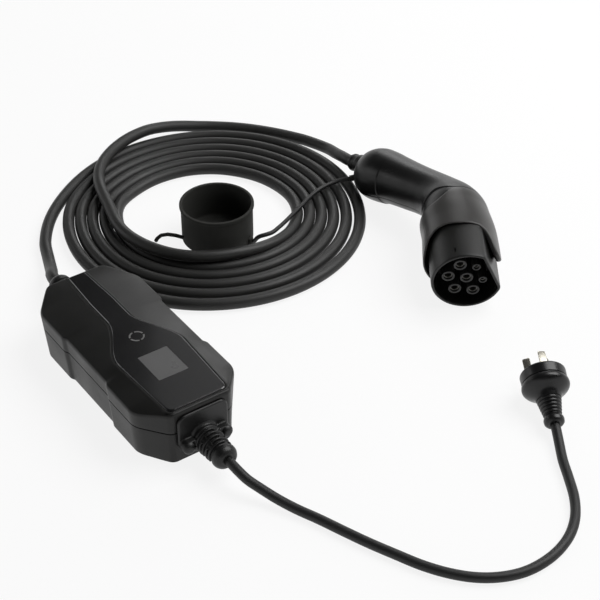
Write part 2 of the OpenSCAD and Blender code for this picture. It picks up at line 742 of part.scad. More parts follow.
// Columns from the joint between the halves out to the wall, each with a hole from the joint
module screw_columns(side, r, hole) {
    difference() {
        intersection() {
            grip_form(grip_wall / 2, gap);
            for (p = grip_posts) translate([side * gap, p[0], p[1]]) rotate([0, side * 90, 0])
                cylinder(h = 40, r = r);
        }
        for (p = grip_posts) translate([-side, p[0], p[1]]) rotate([0, side * 90, 0])
            cylinder(h = 11, r = hole);
    }
}

// The half that lies on the table, with the counterbored screw holes
module grip_shell_right() {
    color("#202022") difference() {
        lay_connector() right_half();
        anchor_form(gap);
    }
}

module right_half() {
    difference() {
        union() {
            grip_half(1);
            screw_columns(1, post_r + 0.9, screw_r);
        }
        for (p = grip_posts) translate([0, p[0], p[1]]) rotate([0, 90, 0]) {
            translate([0, 0, -1]) cylinder(h = 60, r = screw_r + gap);
            translate([0, 0, post_depth - 5]) cylinder(h = 60, r = screw_head_r + gap);
        }
    }
}

module grip_screws() {
    color("#9a9da0") lay_connector() for (p = grip_posts) translate([0, p[0], p[1]]) rotate([0, 90, 0]) {
        translate([0, 0, -8]) cylinder(h = post_depth + 3, r = screw_r - gap / 2);
        translate([0, 0, post_depth - 5]) cylinder(h = 2, r = screw_head_r);
    }
}

module head_cover() {
    spigot = grip_wall + gap;
    color("#1a1a1c") lay_connector() difference() {
        union() {
            loft([for (i = [0:seam]) section_ring(sections[i], 0)]);
            loft([section_ring(sections[seam - 1], spigot), section_ring(sections[seam], spigot),
                section_ring(sections[seam + 1], spigot)]);
        }
        loft([section_ring(behind(sections[0], -5), head_wall), section_ring(sections[1], head_wall),
            section_ring(sections[2], head_wall), section_ring(sections[3], head_wall + 1),
            section_ring(sections[seam], spigot + 1.8), section_ring(behind(sections[seam + 1], 1), spigot + 1.8)]);
        translate([0, 0, neck_z - 0.5]) linear_extrude(60) nose_profile(-0.35);
        translate([0, 0, neck_end - 2]) linear_extrude(20) nose_profile(neck_in - 1.2);
        // the front edge: long over the flat, short at the sides, and a shorter lip below
        translate([-60, 0, 0]) rotate([90, 0, 90]) linear_extrude(120) polygon([
            [-60, 10], [-60, -26], [-33, -26], [-29, -30], [-23, -40], [-14, -45], [2, -46], [13, -42],
            [20, -36], [25, -27], [28, -18], [30, -13.5], [60, -13.5], [60, 10]]);
    }
}

// The clamp that grips the cable's sheath inside the handle
module cord_clamp() {
    color("#8d9094") lay_connector() difference() {
        intersection() {
            grip_form(grip_wall + gap, 0);
            at_grip_end() translate([-30, -9, -34]) cube([60, 18, 14]);
        }
        at_grip_end() translate([0, 0, -40]) cylinder(h = 30, r = cable_d / 2 + gap);
    }
}

module grip_boot() {
    color("#141414") lay_connector() at_grip_end() {
        rotate_extrude() polygon([[0, -12], [boot_r, -12], [boot_r, 3], [boot_r - 0.6, 4],
            [cable_d / 2 + 1.8, boot_len - 1], [cable_d / 2 + 1, boot_len], [0, boot_len]]);
    }
}

// Dust cap: stands mouth up inside the coil
cap_at = [-139, 167];
lug_turn = 30;
module dust_cap() {
    bore = nose_r + cap_clear;
    r = bore + cap_wall;
    color("#232323") translate([cap_at[0], cap_at[1], 0]) {
        rotate_extrude() polygon([[0, 0], [r - 1.2, 0], [r, 1.2], [r, cap_h - 3.4], [r + cap_lip, cap_h - 2.8],
            [r + cap_lip, cap_h - 0.6], [r + cap_lip - 0.5, cap_h], [bore + 0.4, cap_h], [bore, cap_h - 0.6],
            [bore, cap_wall + 1], [0, cap_wall + 1]]);
        rotate(lug_turn) translate([r - 0.6, -3, 2]) cube([3.2, 6, 7]);
    }
}

module cap_pull_loop() {
    color("#232323") cord(loop_route, 3.6, 8);
}

// Mains plug: built with its pins along +Z, then laid with its flange's edge on the table
plug_at = [202, 261.8, 22.8];
plug_lean = 75;
plug_heading = 151.5;
plug_roll = 157.5;

module lay_plug() {
    translate(plug_at) rotate([0, 0, plug_heading]) rotate([0, plug_lean, 0]) rotate([0, 0, plug_roll]) children();
}

module pin_slots(grow) {
    for (s = [-1, 1]) rotate(s * 60) translate([0, pin_circle, 0]) flat_pin(grow, pin_len);
}

// A flat pin whose width runs along X, from 6 mm inside the face to its chamfered tip
module flat_pin(grow, length) {
    translate([-pin_w / 2 - grow, -pin_t / 2 - grow, -6 - grow])
        cube([pin_w + 2 * grow, pin_t + 2 * grow, length + 5 + grow]);
    translate([-pin_w / 2 + 0.8, -pin_t / 2 + 0.3, 0]) cube([pin_w - 1.6, pin_t - 0.6, length]);
}

module plug_body() {
    color("#1c1c1d") lay_plug() difference() {
        rotate_extrude() polygon([[0, 0], [plug_r - 2, 0], [plug_r - 0.9, -1], [plug_r - 1.2, -plug_front + 0.8],
            [plug_r - 2.1, -plug_front + 0.4], [plug_r - 2.1, -plug_front - 0.4], [plug_r - 0.5, -plug_front - 1],
            [plug_r, -plug_front - 3.4], [plug_r - 0.5, -plug_front - 5.4], [plug_r - 2.1, -plug_front - 7.4],
            [plug_r - 5, -plug_front - 9.8], [plug_r - 8.2, -plug_front - 12.6],
            [10.2, -plug_body_len], [0, -plug_body_len]]);
        pin_slots(gap / 3);
        rotate(180) translate([0, earth_circle, 0]) rotate(90) flat_pin(gap / 3, earth_len);
    }
}

module line_pins() {
    color("#c4b27a") lay_plug() pin_slots(0);
}

module earth_pin() {
    color("#c4b27a") lay_plug() rotate(180) translate([0, earth_circle, 0]) rotate(90) flat_pin(0, earth_len);
}

module plug_sleeve() {
    rings = 5;
    pitch = (plug_sleeve_len - 9) / rings;
    end = plug_sleeve_len;
    color("#19191a") lay_plug() translate([0, 0, -plug_body_len]) mirror([0, 0, 1]) rotate_extrude() polygon(concat(
        [[0, 0], [9.8, 0]],
        [for (i = [0:rings - 1]) let (z = 0.8 + i * pitch, r = 10 - 0.55 * i)
            each [[r - 1.3, z], [r, z + 0.4], [r - 0.1, z + pitch * 0.55], [r - 1.5, z + pitch * 0.75]]],
        [[6.9, end - 7.2], [8, end - 6.4], [8.5, end - 4.6], [8.2, end - 2], [6.9, end - 0.4], [5.4, end], [0, end]]));
}

base_shell();
top_cover();
case_gasket();
front_panel();
display_module();
status_ring();
main_board();
display_board();
power_relays();
current_transformer();
power_supply();
input_terminals();
output_terminals();
board_screws();
case_screws();
input_strain_relief();
output_strain_relief();
mains_lead();
plug_body();
plug_sleeve();
line_pins();
earth_pin();
cable_box_run();
cable_coil();
cable_connector_run();
head_cover();
grip_shell_left();
grip_shell_right();
grip_screws();
nose_shroud();
contact_carrier();
contact_tubes();
power_contacts();
pilot_contacts();
nose_seal();
cord_clamp();
grip_boot();
dust_cap();
cap_pull_loop();
cap_tether();
tether_anchor();
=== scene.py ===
import json
import math

import bmesh
import bpy
import numpy as np
from mathutils import Matrix, Vector


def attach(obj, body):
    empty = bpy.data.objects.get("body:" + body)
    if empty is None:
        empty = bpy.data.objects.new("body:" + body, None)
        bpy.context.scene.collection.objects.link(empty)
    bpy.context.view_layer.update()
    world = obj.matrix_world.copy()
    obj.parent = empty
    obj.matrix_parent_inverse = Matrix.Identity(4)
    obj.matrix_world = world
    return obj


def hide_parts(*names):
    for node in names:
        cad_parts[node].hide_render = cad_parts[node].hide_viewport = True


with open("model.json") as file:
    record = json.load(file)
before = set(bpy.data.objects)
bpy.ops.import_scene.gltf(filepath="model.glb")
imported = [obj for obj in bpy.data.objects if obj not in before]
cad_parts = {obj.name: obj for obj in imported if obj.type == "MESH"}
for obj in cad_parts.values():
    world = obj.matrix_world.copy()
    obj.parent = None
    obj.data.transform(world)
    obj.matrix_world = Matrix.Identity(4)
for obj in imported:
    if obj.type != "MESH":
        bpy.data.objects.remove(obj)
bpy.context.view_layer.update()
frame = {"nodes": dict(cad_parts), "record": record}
scene = bpy.context.scene
nodes = frame["nodes"]
print("frame loaded:", len(nodes), "CAD nodes")


# small tools; shapes are worked out in millimetres and turned into metres where a mesh or curve is made

def hexColour(code):
    # sRGB hex to the linear values that the shader works in
    parts = [int(code[i:i + 2], 16) / 255 for i in (1, 3, 5)]
    return tuple(c / 12.92 if c <= 0.04045 else ((c + 0.055) / 1.055) ** 2.4 for c in parts) + (1.0,)


def addNode(tree, kind, links=None, **settings):
    # one node with its settings; links maps an input's name or number to a value or another node's output
    node = tree.nodes.new(kind)
    for key, value in settings.items():
        setattr(node, key, value)
    for key, value in (links or {}).items():
        socket = node.inputs[key]
        if isinstance(value, bpy.types.NodeSocket):
            tree.links.new(value, socket)
        else:
            socket.default_value = value
    return node


def addObject(name, data):
    obj = bpy.data.objects.new(name, data)
    scene.collection.objects.link(obj)
    return obj


def newMaterial(name):
    material = bpy.data.materials.new(name)
    material.use_nodes = True
    tree = material.node_tree
    tree.nodes.clear()
    return material, tree


def meshObject(name, points, faces, sharp=35.0):
    mesh = bpy.data.meshes.new(name)
    mesh.from_pydata((np.asarray(points, float) / 1000).tolist(), [], faces)
    mesh.validate()
    obj = addObject(name, mesh)
    b = bmesh.new()
    b.from_mesh(mesh)
    bmesh.ops.remove_doubles(b, verts=b.verts, dist=1e-6)
    bmesh.ops.recalc_face_normals(b, faces=b.faces)
    b.to_mesh(mesh)
    b.free()
    smoothShade(mesh, sharp)
    return obj


def smoothShade(mesh, sharp):
    mesh.polygons.foreach_set("use_smooth", [True] * len(mesh.polygons))
    mesh.set_sharp_from_angle(angle=math.radians(sharp))
    mesh.update()


def placer(*turns, at=(0, 0, 0), after=None):
    # gives a function that turns points (the last turn is made first), moves them, and then calls after
    matrix = Matrix.Identity(3)
    for axis, angle in turns:
        matrix = matrix @ Matrix.Rotation(math.radians(angle), 3, axis)
    matrix = np.array(matrix)

    def place(points):
        moved = np.asarray(points, float) @ matrix.T + np.asarray(at, float)
        return after(moved) if after else moved

    return place


def loft(name, rings, ends="capped", place=None, sharp=35.0):
    # rings of equal length joined into one skin; "strips" caps a ring whose second half mirrors its first,
    # and "joined" runs the last ring back into the first
    n, last = len(rings[0]), len(rings) - 1
    faces = []
    for k in range(last + (ends == "joined")):
        a, b = k * n, (k + 1) % len(rings) * n
        faces += [(a + i, a + (i + 1) % n, b + (i + 1) % n, b + i) for i in range(n)]
    for end in (0, last * n):
        if ends == "strips":
            faces += [(end + i, end + i + 1, end + n - 2 - i, end + n - 1 - i) for i in range(n // 2 - 1)]
        elif ends == "capped":
            faces.append(tuple(end + i for i in range(n)))
    points = np.concatenate([np.asarray(r, float) for r in rings])
    return meshObject(name, place(points) if place else points, faces, sharp)


def revolve(name, profile, place=None, steps=96, sharp=35.0):
    # profile is (radius, height) pairs, turned about Z; it closes on the axis or on itself
    rings, faces, points = [], [], []
    for r, z in profile:
        rings.append(list(range(len(points), len(points) + (1 if r < 1e-6 else steps))))
        turn = [2 * math.pi * i / steps for i in range(len(rings[-1]))]
        points += [(r * math.cos(a), r * math.sin(a), z) for a in turn]
    if profile[0][0] > 1e-6:
        rings.append(rings[0])
    for a, b in zip(rings, rings[1:]):
        for i in range(steps if len(a) + len(b) > 2 else 0):
            corners = [a[i % len(a)], a[(i + 1) % len(a)], b[(i + 1) % len(b)], b[i % len(b)]]
            faces.append(tuple(dict.fromkeys(corners)))
    return meshObject(name, place(points) if place else points, faces, sharp)


def rounded(profile, radii, steps=4, closed=False):
    # rounds the corners of a polyline; radii is one radius for all of them, or one for each by its number
    count = len(profile)
    out = []
    for i in range(count):
        p, a, b = (np.array(profile[k % count], float) for k in (i, i - 1, i + 1))
        r = radii.get(i, 0) if isinstance(radii, dict) else radii
        if r == 0 or (not closed and i in (0, count - 1)):
            out.append(tuple(p))
            continue
        u, v = a - p, b - p
        d = min(r, 0.49 * np.linalg.norm(u), 0.49 * np.linalg.norm(v))
        s, e = p + u / np.linalg.norm(u) * d, p + v / np.linalg.norm(v) * d
        for t in np.linspace(0, 1, steps + 1):
            out.append(tuple((1 - t) ** 2 * s + 2 * t * (1 - t) * p + t * t * e))
    return out


def roundedRect(width, height, radius, middle=(0, 0), steps=8):
    # corner arcs of a rectangle, anticlockwise
    out = []
    for quarter, (sx, sy) in enumerate(((1, 1), (-1, 1), (-1, -1), (1, -1))):
        for a in np.linspace(quarter * 90, quarter * 90 + 90, steps + 1):
            out.append((middle[0] + sx * (width / 2 - radius) + radius * math.cos(math.radians(a)),
                        middle[1] + sy * (height / 2 - radius) + radius * math.sin(math.radians(a))))
    return out


def prism(name, outline, low, high, axis="Z", place=None):
    # an outline drawn out along Z, or along X for an outline that stands in Y and Z
    def ring(t):
        return [(a, b, t) if axis == "Z" else (t, a, b) for a, b in outline]

    return loft(name, [ring(low), ring(high)], place=place)


def placePoints(obj, place):
    # moves a mesh that was made in metres by a function that works in millimetres
    flat = np.empty(len(obj.data.vertices) * 3)
    obj.data.vertices.foreach_get("co", flat)
    obj.data.vertices.foreach_set("co", (place(flat.reshape(-1, 3) * 1000) / 1000).ravel())
    obj.data.update()


def remove(obj):
    data = obj.data
    bpy.data.objects.remove(obj)
    (bpy.data.curves if isinstance(data, bpy.types.Curve) else bpy.data.meshes).remove(data)


def asMesh(obj, name):
    # what the modifiers make, as a plain mesh without them
    graph = bpy.context.evaluated_depsgraph_get()
    mesh = bpy.data.meshes.new_from_object(obj.evaluated_get(graph), depsgraph=graph)
    remove(obj)
    return addObject(name, mesh)


def joined(name, parts):
    b = bmesh.new()
    for part in parts:
        b.from_mesh(part.data)
    mesh = bpy.data.meshes.new(name)
    b.to_mesh(mesh)
    b.free()
    for part in parts:
        remove(part)
    return addObject(name, mesh)


def carve(obj, name, cutters):
    for cutter in cutters:
        cut = obj.modifiers.new("cut", "BOOLEAN")
        cut.operation, cut.solver, cut.object = "DIFFERENCE", "EXACT", cutter
    made = asMesh(obj, name)
    for cutter in cutters:
        remove(cutter)
    return made


def evenShading(obj, name, sharp=35.0):
    # large flat faces keep their own direction beside small roundings
    smoothShade(obj.data, sharp)
    obj.modifiers.new("evenShading", "WEIGHTED_NORMAL").keep_sharp = True
    return asMesh(obj, name)


def softened(obj, name, voxel, passes):
    # moulded rubber: the joined forms become one skin, with every edge rounded over
    skin = obj.modifiers.new("skin", "REMESH")
    skin.mode, skin.voxel_size, skin.use_smooth_shade = "VOXEL", voxel / 1000, True
    ease = obj.modifiers.new("ease", "SMOOTH")
    ease.factor, ease.iterations = 0.5, passes
    return asMesh(obj, name)


def smoothLine(points, spacing):
    # a Catmull-Rom curve through the points, given back at an even spacing
    p = np.asarray(points, float)
    p = np.vstack([2 * p[0] - p[1], p, 2 * p[-1] - p[-2]])
    dense = []
    for a, b, c, d in zip(p, p[1:], p[2:], p[3:]):
        for t in np.linspace(0, 1, 16, endpoint=False):
            dense.append(0.5 * (2 * b + (c - a) * t + (2 * a - 5 * b + 4 * c - d) * t ** 2
                                + (3 * b - a - 3 * c + d) * t ** 3))
    dense = np.array(dense + [p[-2]])
    run = np.concatenate([[0], np.cumsum(np.linalg.norm(np.diff(dense, axis=0), axis=1))])
    at = np.linspace(0, run[-1], max(8, int(round(run[-1] / spacing))) + 1)
    return np.stack([np.interp(at, run, dense[:, k]) for k in range(3)], 1)


def lineLength(points):
    return float(np.linalg.norm(np.diff(np.asarray(points), axis=0), axis=1).sum())


def newTree(name, inputs):
    # a Geometry Nodes tree that takes a geometry and the named inputs
    tree = bpy.data.node_groups.new(name, "GeometryNodeTree")
    for label, kind in (("Geometry", "Geometry"),) + tuple(inputs.items()):
        tree.interface.new_socket(label, in_out="INPUT", socket_type="NodeSocket" + kind)
    tree.interface.new_socket("Geometry", in_out="OUTPUT", socket_type="NodeSocketGeometry")
    return tree, addNode(tree, "NodeGroupInput")


def closeTree(tree, geometry, material):
    real = addNode(tree, "GeometryNodeRealizeInstances", {"Geometry": geometry})
    paint = addNode(tree, "GeometryNodeSetMaterial", {"Geometry": real.outputs["Geometry"],
                    "Material": material})
    addNode(tree, "NodeGroupOutput", {"Geometry": paint.outputs["Geometry"]})


def runTree(obj, tree, name, **values):
    # gives the tree's inputs by their identifiers, and the result back as a plain mesh
    modifier = obj.modifiers.new("nodes", "NODES")
    modifier.node_group = tree
    for item in tree.interface.items_tree:
        if item.in_out == "INPUT" and item.name in values:
            modifier[item.identifier] = values[item.name]
    return asMesh(obj, name)


def finish(obj, slot, *replaced):
    # gives a piece the finish of its slot, and hides the CAD nodes it stands for
    obj.data.materials.clear()
    obj.data.materials.append(slotMaterial(slot))
    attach(obj, "root")
    if replaced:
        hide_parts(*replaced)
    return obj


# camera, lamps and floor

view = {
    "place": (0.8817, -0.454, 0.8401),            # the camera, and the point it looks at, in metres
    "target": (-0.0152, 0.174, 0.0),
    "lens": 93.6, "sensor": 36.0, "clipStart": 0.05, "clipEnd": 30.0,
    "floorColour": "#f6f6f6", "floorHalf": 4.0, "floorDrop": 0.0003,
    "floorWhite": 0.86,                           # share of plain white; the rest keeps the shadow
    "skyLow": 1.0, "skyHigh": 0.06,               # strength of the surround, low down and overhead
    "skyBottom": 0.12, "skyTop": 0.42,            # sines of the elevation between which it falls
    "lampMiddle": (0.0, 0.12, 0.0),               # what the softboxes point at
    # softboxes: bearing and elevation in degrees, distance, size and power
    "softboxes": {"key": (72, 54, 2.0, 1.5, 39.0), "back": (138, 26, 2.2, 0.8, 6.4),
                  "backHigh": (145, 44, 2.0, 0.55, 0.4), "left": (222, 25, 2.0, 0.5, 1.7)},
}


def placeFacing(obj, place, direction):
    # cameras and lamps look along their own -Z
    obj.location = place
    obj.rotation_mode = "QUATERNION"
    obj.rotation_quaternion = direction.to_track_quat("-Z", "Y")


def makeCamera():
    data = bpy.data.cameras.new("photoCamera")
    data.lens, data.sensor_width = view["lens"], view["sensor"]
    data.clip_start, data.clip_end = view["clipStart"], view["clipEnd"]
    scene.camera = addObject("photoCamera", data)
    placeFacing(scene.camera, view["place"], Vector(view["target"]) - Vector(view["place"]))


def makeSurround():
    # a white surround with a dark top, as in a light tent that is open above
    world = bpy.data.worlds.new("lightTent")
    world.use_nodes = True
    scene.world = world
    tree = world.node_tree
    tree.nodes.clear()
    place = addNode(tree, "ShaderNodeTexCoord")
    split = addNode(tree, "ShaderNodeSeparateXYZ", {0: place.outputs["Generated"]})
    ramp = addNode(tree, "ShaderNodeMapRange", {"Value": split.outputs["Z"], "From Min": view["skyBottom"],
                   "From Max": view["skyTop"], "To Min": view["skyLow"], "To Max": view["skyHigh"]},
                   interpolation_type="SMOOTHSTEP")
    tent = addNode(tree, "ShaderNodeBackground", {"Color": (1, 1, 1, 1), "Strength": ramp.outputs[0]})
    addNode(tree, "ShaderNodeOutputWorld", {"Surface": tent.outputs[0]})


def makeLamps():
    for name, (bearing, above, away, size, power) in view["softboxes"].items():
        lamp = bpy.data.lights.new(name + "Softbox", "AREA")
        lamp.shape, lamp.size, lamp.energy = "SQUARE", size, power
        a, e = math.radians(bearing), math.radians(above)
        out = Vector((math.cos(a) * math.cos(e), math.sin(a) * math.cos(e), math.sin(e)))
        placeFacing(addObject(name + "Softbox", lamp), Vector(view["lampMiddle"]) + out * away, -out)


def makeFloor():
    # pale floor: mostly plain white to the camera and in reflections, with the object's shadow kept faintly
    material, tree = newMaterial("paleTableTop")
    paint = addNode(tree, "ShaderNodeBsdfDiffuse", {"Color": hexColour(view["floorColour"])})
    white = addNode(tree, "ShaderNodeEmission", {"Color": (1, 1, 1, 1), "Strength": 1.0})
    ray = addNode(tree, "ShaderNodeLightPath")
    seen = ray.outputs["Is Camera Ray"]
    for kind in ("Is Glossy Ray", "Is Transmission Ray"):
        either = addNode(tree, "ShaderNodeMath", {0: seen, 1: ray.outputs[kind]}, operation="MAXIMUM")
        seen = either.outputs[0]
    share = addNode(tree, "ShaderNodeMath", {0: seen, 1: view["floorWhite"]}, operation="MULTIPLY")
    mix = addNode(tree, "ShaderNodeMixShader", {0: share.outputs[0], 1: paint.outputs[0],
                  2: white.outputs[0]})
    addNode(tree, "ShaderNodeOutputMaterial", {"Surface": mix.outputs[0]})
    mesh = bpy.data.meshes.new("tableTop")
    half, down = view["floorHalf"], view["floorDrop"]
    corners = [(x * half, y * half, -down) for x, y in ((-1, -1), (1, -1), (1, 1), (-1, 1))]
    mesh.from_pydata(corners, [], [(0, 1, 2, 3)])
    mesh.materials.append(material)
    floor = addObject("tableTop", mesh)


makeCamera()
makeSurround()
makeLamps()
makeFloor()
scene.view_settings.view_transform = "Standard"
print("stage ready")


# materials

surface = {
    "broad": 28.0,                                # patches per metre, in which colour and gloss drift
    "grainDepth": 0.0002,                         # depth of a plastic's or rubber's grain, in metres
    "coatRoughness": 0.08,
    "metalGrain": 1400.0, "metalDepth": 0.0001, "metalBump": 0.08,        # grains per metre, and how deep
    "metalSpread": 0.05,                          # how far the grain shifts the roughness each way
}


def mouldedPolymer(name, colour, roughness, grain=0.6, bump=0.15, coat=0.0, mottle=0.12, specular=0.4,
                   scuff=0.06):
    # grain is the texture's size in millimetres; mottle shifts the colour a little, scuff the gloss
    material, tree = newMaterial(name)
    place = addNode(tree, "ShaderNodeTexCoord").outputs["Object"]
    fine = addNode(tree, "ShaderNodeTexNoise", {"Vector": place, "Scale": 1000.0 / grain, "Detail": 3.0,
                   "Roughness": 0.6})
    broad = addNode(tree, "ShaderNodeTexNoise", {"Vector": place, "Scale": surface["broad"], "Detail": 4.0,
                    "Roughness": 0.55})
    base = hexColour(colour)
    dark = tuple(c * (1 - mottle) for c in base[:3]) + (1.0,)
    pale = tuple(c * (1 + mottle) for c in base[:3]) + (1.0,)
    mix = addNode(tree, "ShaderNodeMix", {0: broad.outputs["Fac"], 6: dark, 7: pale}, data_type="RGBA")
    gloss = addNode(tree, "ShaderNodeMapRange", {"Value": broad.outputs["Fac"], "From Min": 0.3,
                    "From Max": 0.7, "To Min": roughness - scuff, "To Max": roughness + scuff})
    relief = addNode(tree, "ShaderNodeBump", {"Height": fine.outputs["Fac"], "Strength": bump,
                     "Distance": surface["grainDepth"]})
    shader = addNode(tree, "ShaderNodeBsdfPrincipled", {"Base Color": mix.outputs[2],
                     "Roughness": gloss.outputs[0], "Normal": relief.outputs[0],
                     "Specular IOR Level": specular, "Coat Weight": coat,
                     "Coat Roughness": surface["coatRoughness"]})
    addNode(tree, "ShaderNodeOutputMaterial", {"Surface": shader.outputs[0]})
    return material


def platedMetal(name, colour, roughness):
    # turned or stamped metal: a fine grain shows in the gloss
    spread = surface["metalSpread"]
    material, tree = newMaterial(name)
    place = addNode(tree, "ShaderNodeTexCoord").outputs["Object"]
    grain = addNode(tree, "ShaderNodeTexNoise", {"Vector": place, "Scale": surface["metalGrain"],
                    "Detail": 2.0})
    gloss = addNode(tree, "ShaderNodeMapRange", {"Value": grain.outputs["Fac"],
                    "To Min": roughness - spread, "To Max": roughness + spread})
    relief = addNode(tree, "ShaderNodeBump", {"Height": grain.outputs["Fac"],
                     "Strength": surface["metalBump"], "Distance": surface["metalDepth"]})
    shader = addNode(tree, "ShaderNodeBsdfPrincipled", {"Base Color": hexColour(colour), "Metallic": 1.0,
                     "Roughness": gloss.outputs[0], "Normal": relief.outputs[0]})
    addNode(tree, "ShaderNodeOutputMaterial", {"Surface": shader.outputs[0]})
    return material


finishes = {
    # spark-eroded ABS: a fine even grain that spreads each highlight into a dull sheen
    "texturedAbs": mouldedPolymer("texturedAbsHousing", "#151514", 0.42, grain=0.7, bump=0.25, specular=0.3),
    # polished acrylic sheet: deep black under a hard clear gloss, with soft reflections
    "pianoAcrylic": mouldedPolymer("pianoBlackAcrylic", "#0e0e0f", 0.2, grain=3.0, bump=0.02, coat=0.5,
                                   mottle=0.05, scuff=0.03),
    # a liquid crystal display that is off: flat mid grey behind a smooth window
    "displayGlass": mouldedPolymer("unlitDisplayGlass", "#5a5a5a", 0.3, grain=3.0, bump=0.0,
                                   mottle=0.04, scuff=0.03),
    # opal polycarbonate with its lamp off: pale grey, almost without texture
    "lightGuide": mouldedPolymer("opalLightGuide", "#6e6e6d", 0.35, grain=2.0, bump=0.02),
    # lacquer on a circuit board: deep green and half glossy
    "solderMask": mouldedPolymer("greenSolderMask", "#1d5a39", 0.3, grain=1.0, bump=0.05),
    # filled phenolic resin of relays and the cord clamp: dull charcoal
    "phenolic": mouldedPolymer("mouldedPhenolic", "#202124", 0.5, grain=0.8, bump=0.2),
    # a ferrite ring under lacquered tape: dull brown with a coarse surface
    "woundCore": mouldedPolymer("tapedFerriteCore", "#40332a", 0.55, grain=1.2, bump=0.3),
    # polyester tape round a transformer: soft yellow with a slight shine
    "yellowTape": mouldedPolymer("yellowPolyesterTape", "#b8a357", 0.4, grain=1.5, bump=0.1),
    # nylon terminal blocks: muted green, satin
    "greenNylon": mouldedPolymer("greenNylonTerminal", "#38663f", 0.45, grain=0.8, bump=0.15),
    # moulded rubber of the reliefs and the boot: near black, with broad soft highlights on each rib
    "satinRubber": mouldedPolymer("mouldedRubber", "#0e0e0e", 0.42, grain=0.9, bump=0.2),
    # foamed rubber strip: matt and slightly open
    "sealRubber": mouldedPolymer("foamedSealRubber", "#141414", 0.7, grain=0.5, bump=0.3),
    # extruded polyurethane: dark grey, with a dull stripe of light along each turn
    "cableSheath": mouldedPolymer("extrudedTpuSheath", "#242423", 0.5, grain=0.8, bump=0.25),
    # extruded rubber: a little darker and rougher than the thick cable
    "leadSheath": mouldedPolymer("extrudedRubberSheath", "#1a1a1a", 0.5, grain=0.7, bump=0.3),
    # injected PVC of the plug: black with clear, slightly soft highlights
    "plugPvc": mouldedPolymer("satinMouldedPvc", "#101011", 0.3, grain=0.9, bump=0.1),
    # finely eroded nylon of the grip: black, with one long satin highlight
    "gripNylon": mouldedPolymer("finelyTexturedNylonGrip", "#0e0e0e", 0.34, grain=0.6, bump=0.3,
                                specular=0.35),
    # smooth nylon of the head: charcoal, paler than the grip where it faces the light
    "headNylon": mouldedPolymer("satinNylonHead", "#353433", 0.36, grain=0.7, bump=0.15),
    # glass-filled nylon of the nose: black with a faint dry grain
    "noseNylon": mouldedPolymer("glassFilledNylonNose", "#161615", 0.4, grain=0.5, bump=0.25),
    # the same compound in dark grey, round the contacts
    "carrierNylon": mouldedPolymer("glassFilledNylonCarrier", "#1f1f1e", 0.45, grain=0.5, bump=0.2),
    # soft moulded rubber of the cap: matt grey that hardly reflects
    "capRubber": mouldedPolymer("mouldedCapRubber", "#2f2f2d", 0.75, grain=0.9, bump=0.25, specular=0.15),
    # silver plate, dulled by use: a pale grey ring in each dark tube
    "silver": platedMetal("silverPlatedCopper", "#8b8984", 0.42),
    # nickel over brass: bright warm grey with sharp reflections
    "brass": platedMetal("nickelledBrassPin", "#c8c4b8", 0.25),
    # zinc plate on steel screws: cool grey with soft highlights
    "zinc": platedMetal("zincPlatedSteel", "#b4b7ba", 0.32),
}
slotFinish = {
    "box_plastic": "texturedAbs", "seal_rubber": "sealRubber", "panel_gloss": "pianoAcrylic",
    "display_grey": "displayGlass", "light_guide": "lightGuide", "circuit_board": "solderMask",
    "component_black": "phenolic", "component_brown": "woundCore", "component_yellow": "yellowTape",
    "terminal_green": "greenNylon", "screw_steel": "zinc", "relief_rubber": "satinRubber",
    "lead_sheath": "leadSheath", "plug_plastic": "plugPvc", "pin_brass": "brass",
    "cable_sheath": "cableSheath", "head_plastic": "headNylon", "grip_plastic": "gripNylon",
    "nose_plastic": "noseNylon", "carrier_plastic": "carrierNylon", "contact_silver": "silver",
    "cap_rubber": "capRubber", "tether_sheath": "leadSheath",
}


def slotMaterial(slot):
    return finishes[slotFinish[slot]]


nodeSlot = {row["node"]: row["material_slot"] for row in frame["record"]["subparts"]}
for name, node in nodes.items():
    node.data.materials.clear()
    node.data.materials.append(slotMaterial(nodeSlot[name]))
print("materials ready:", len(finishes))


# cords

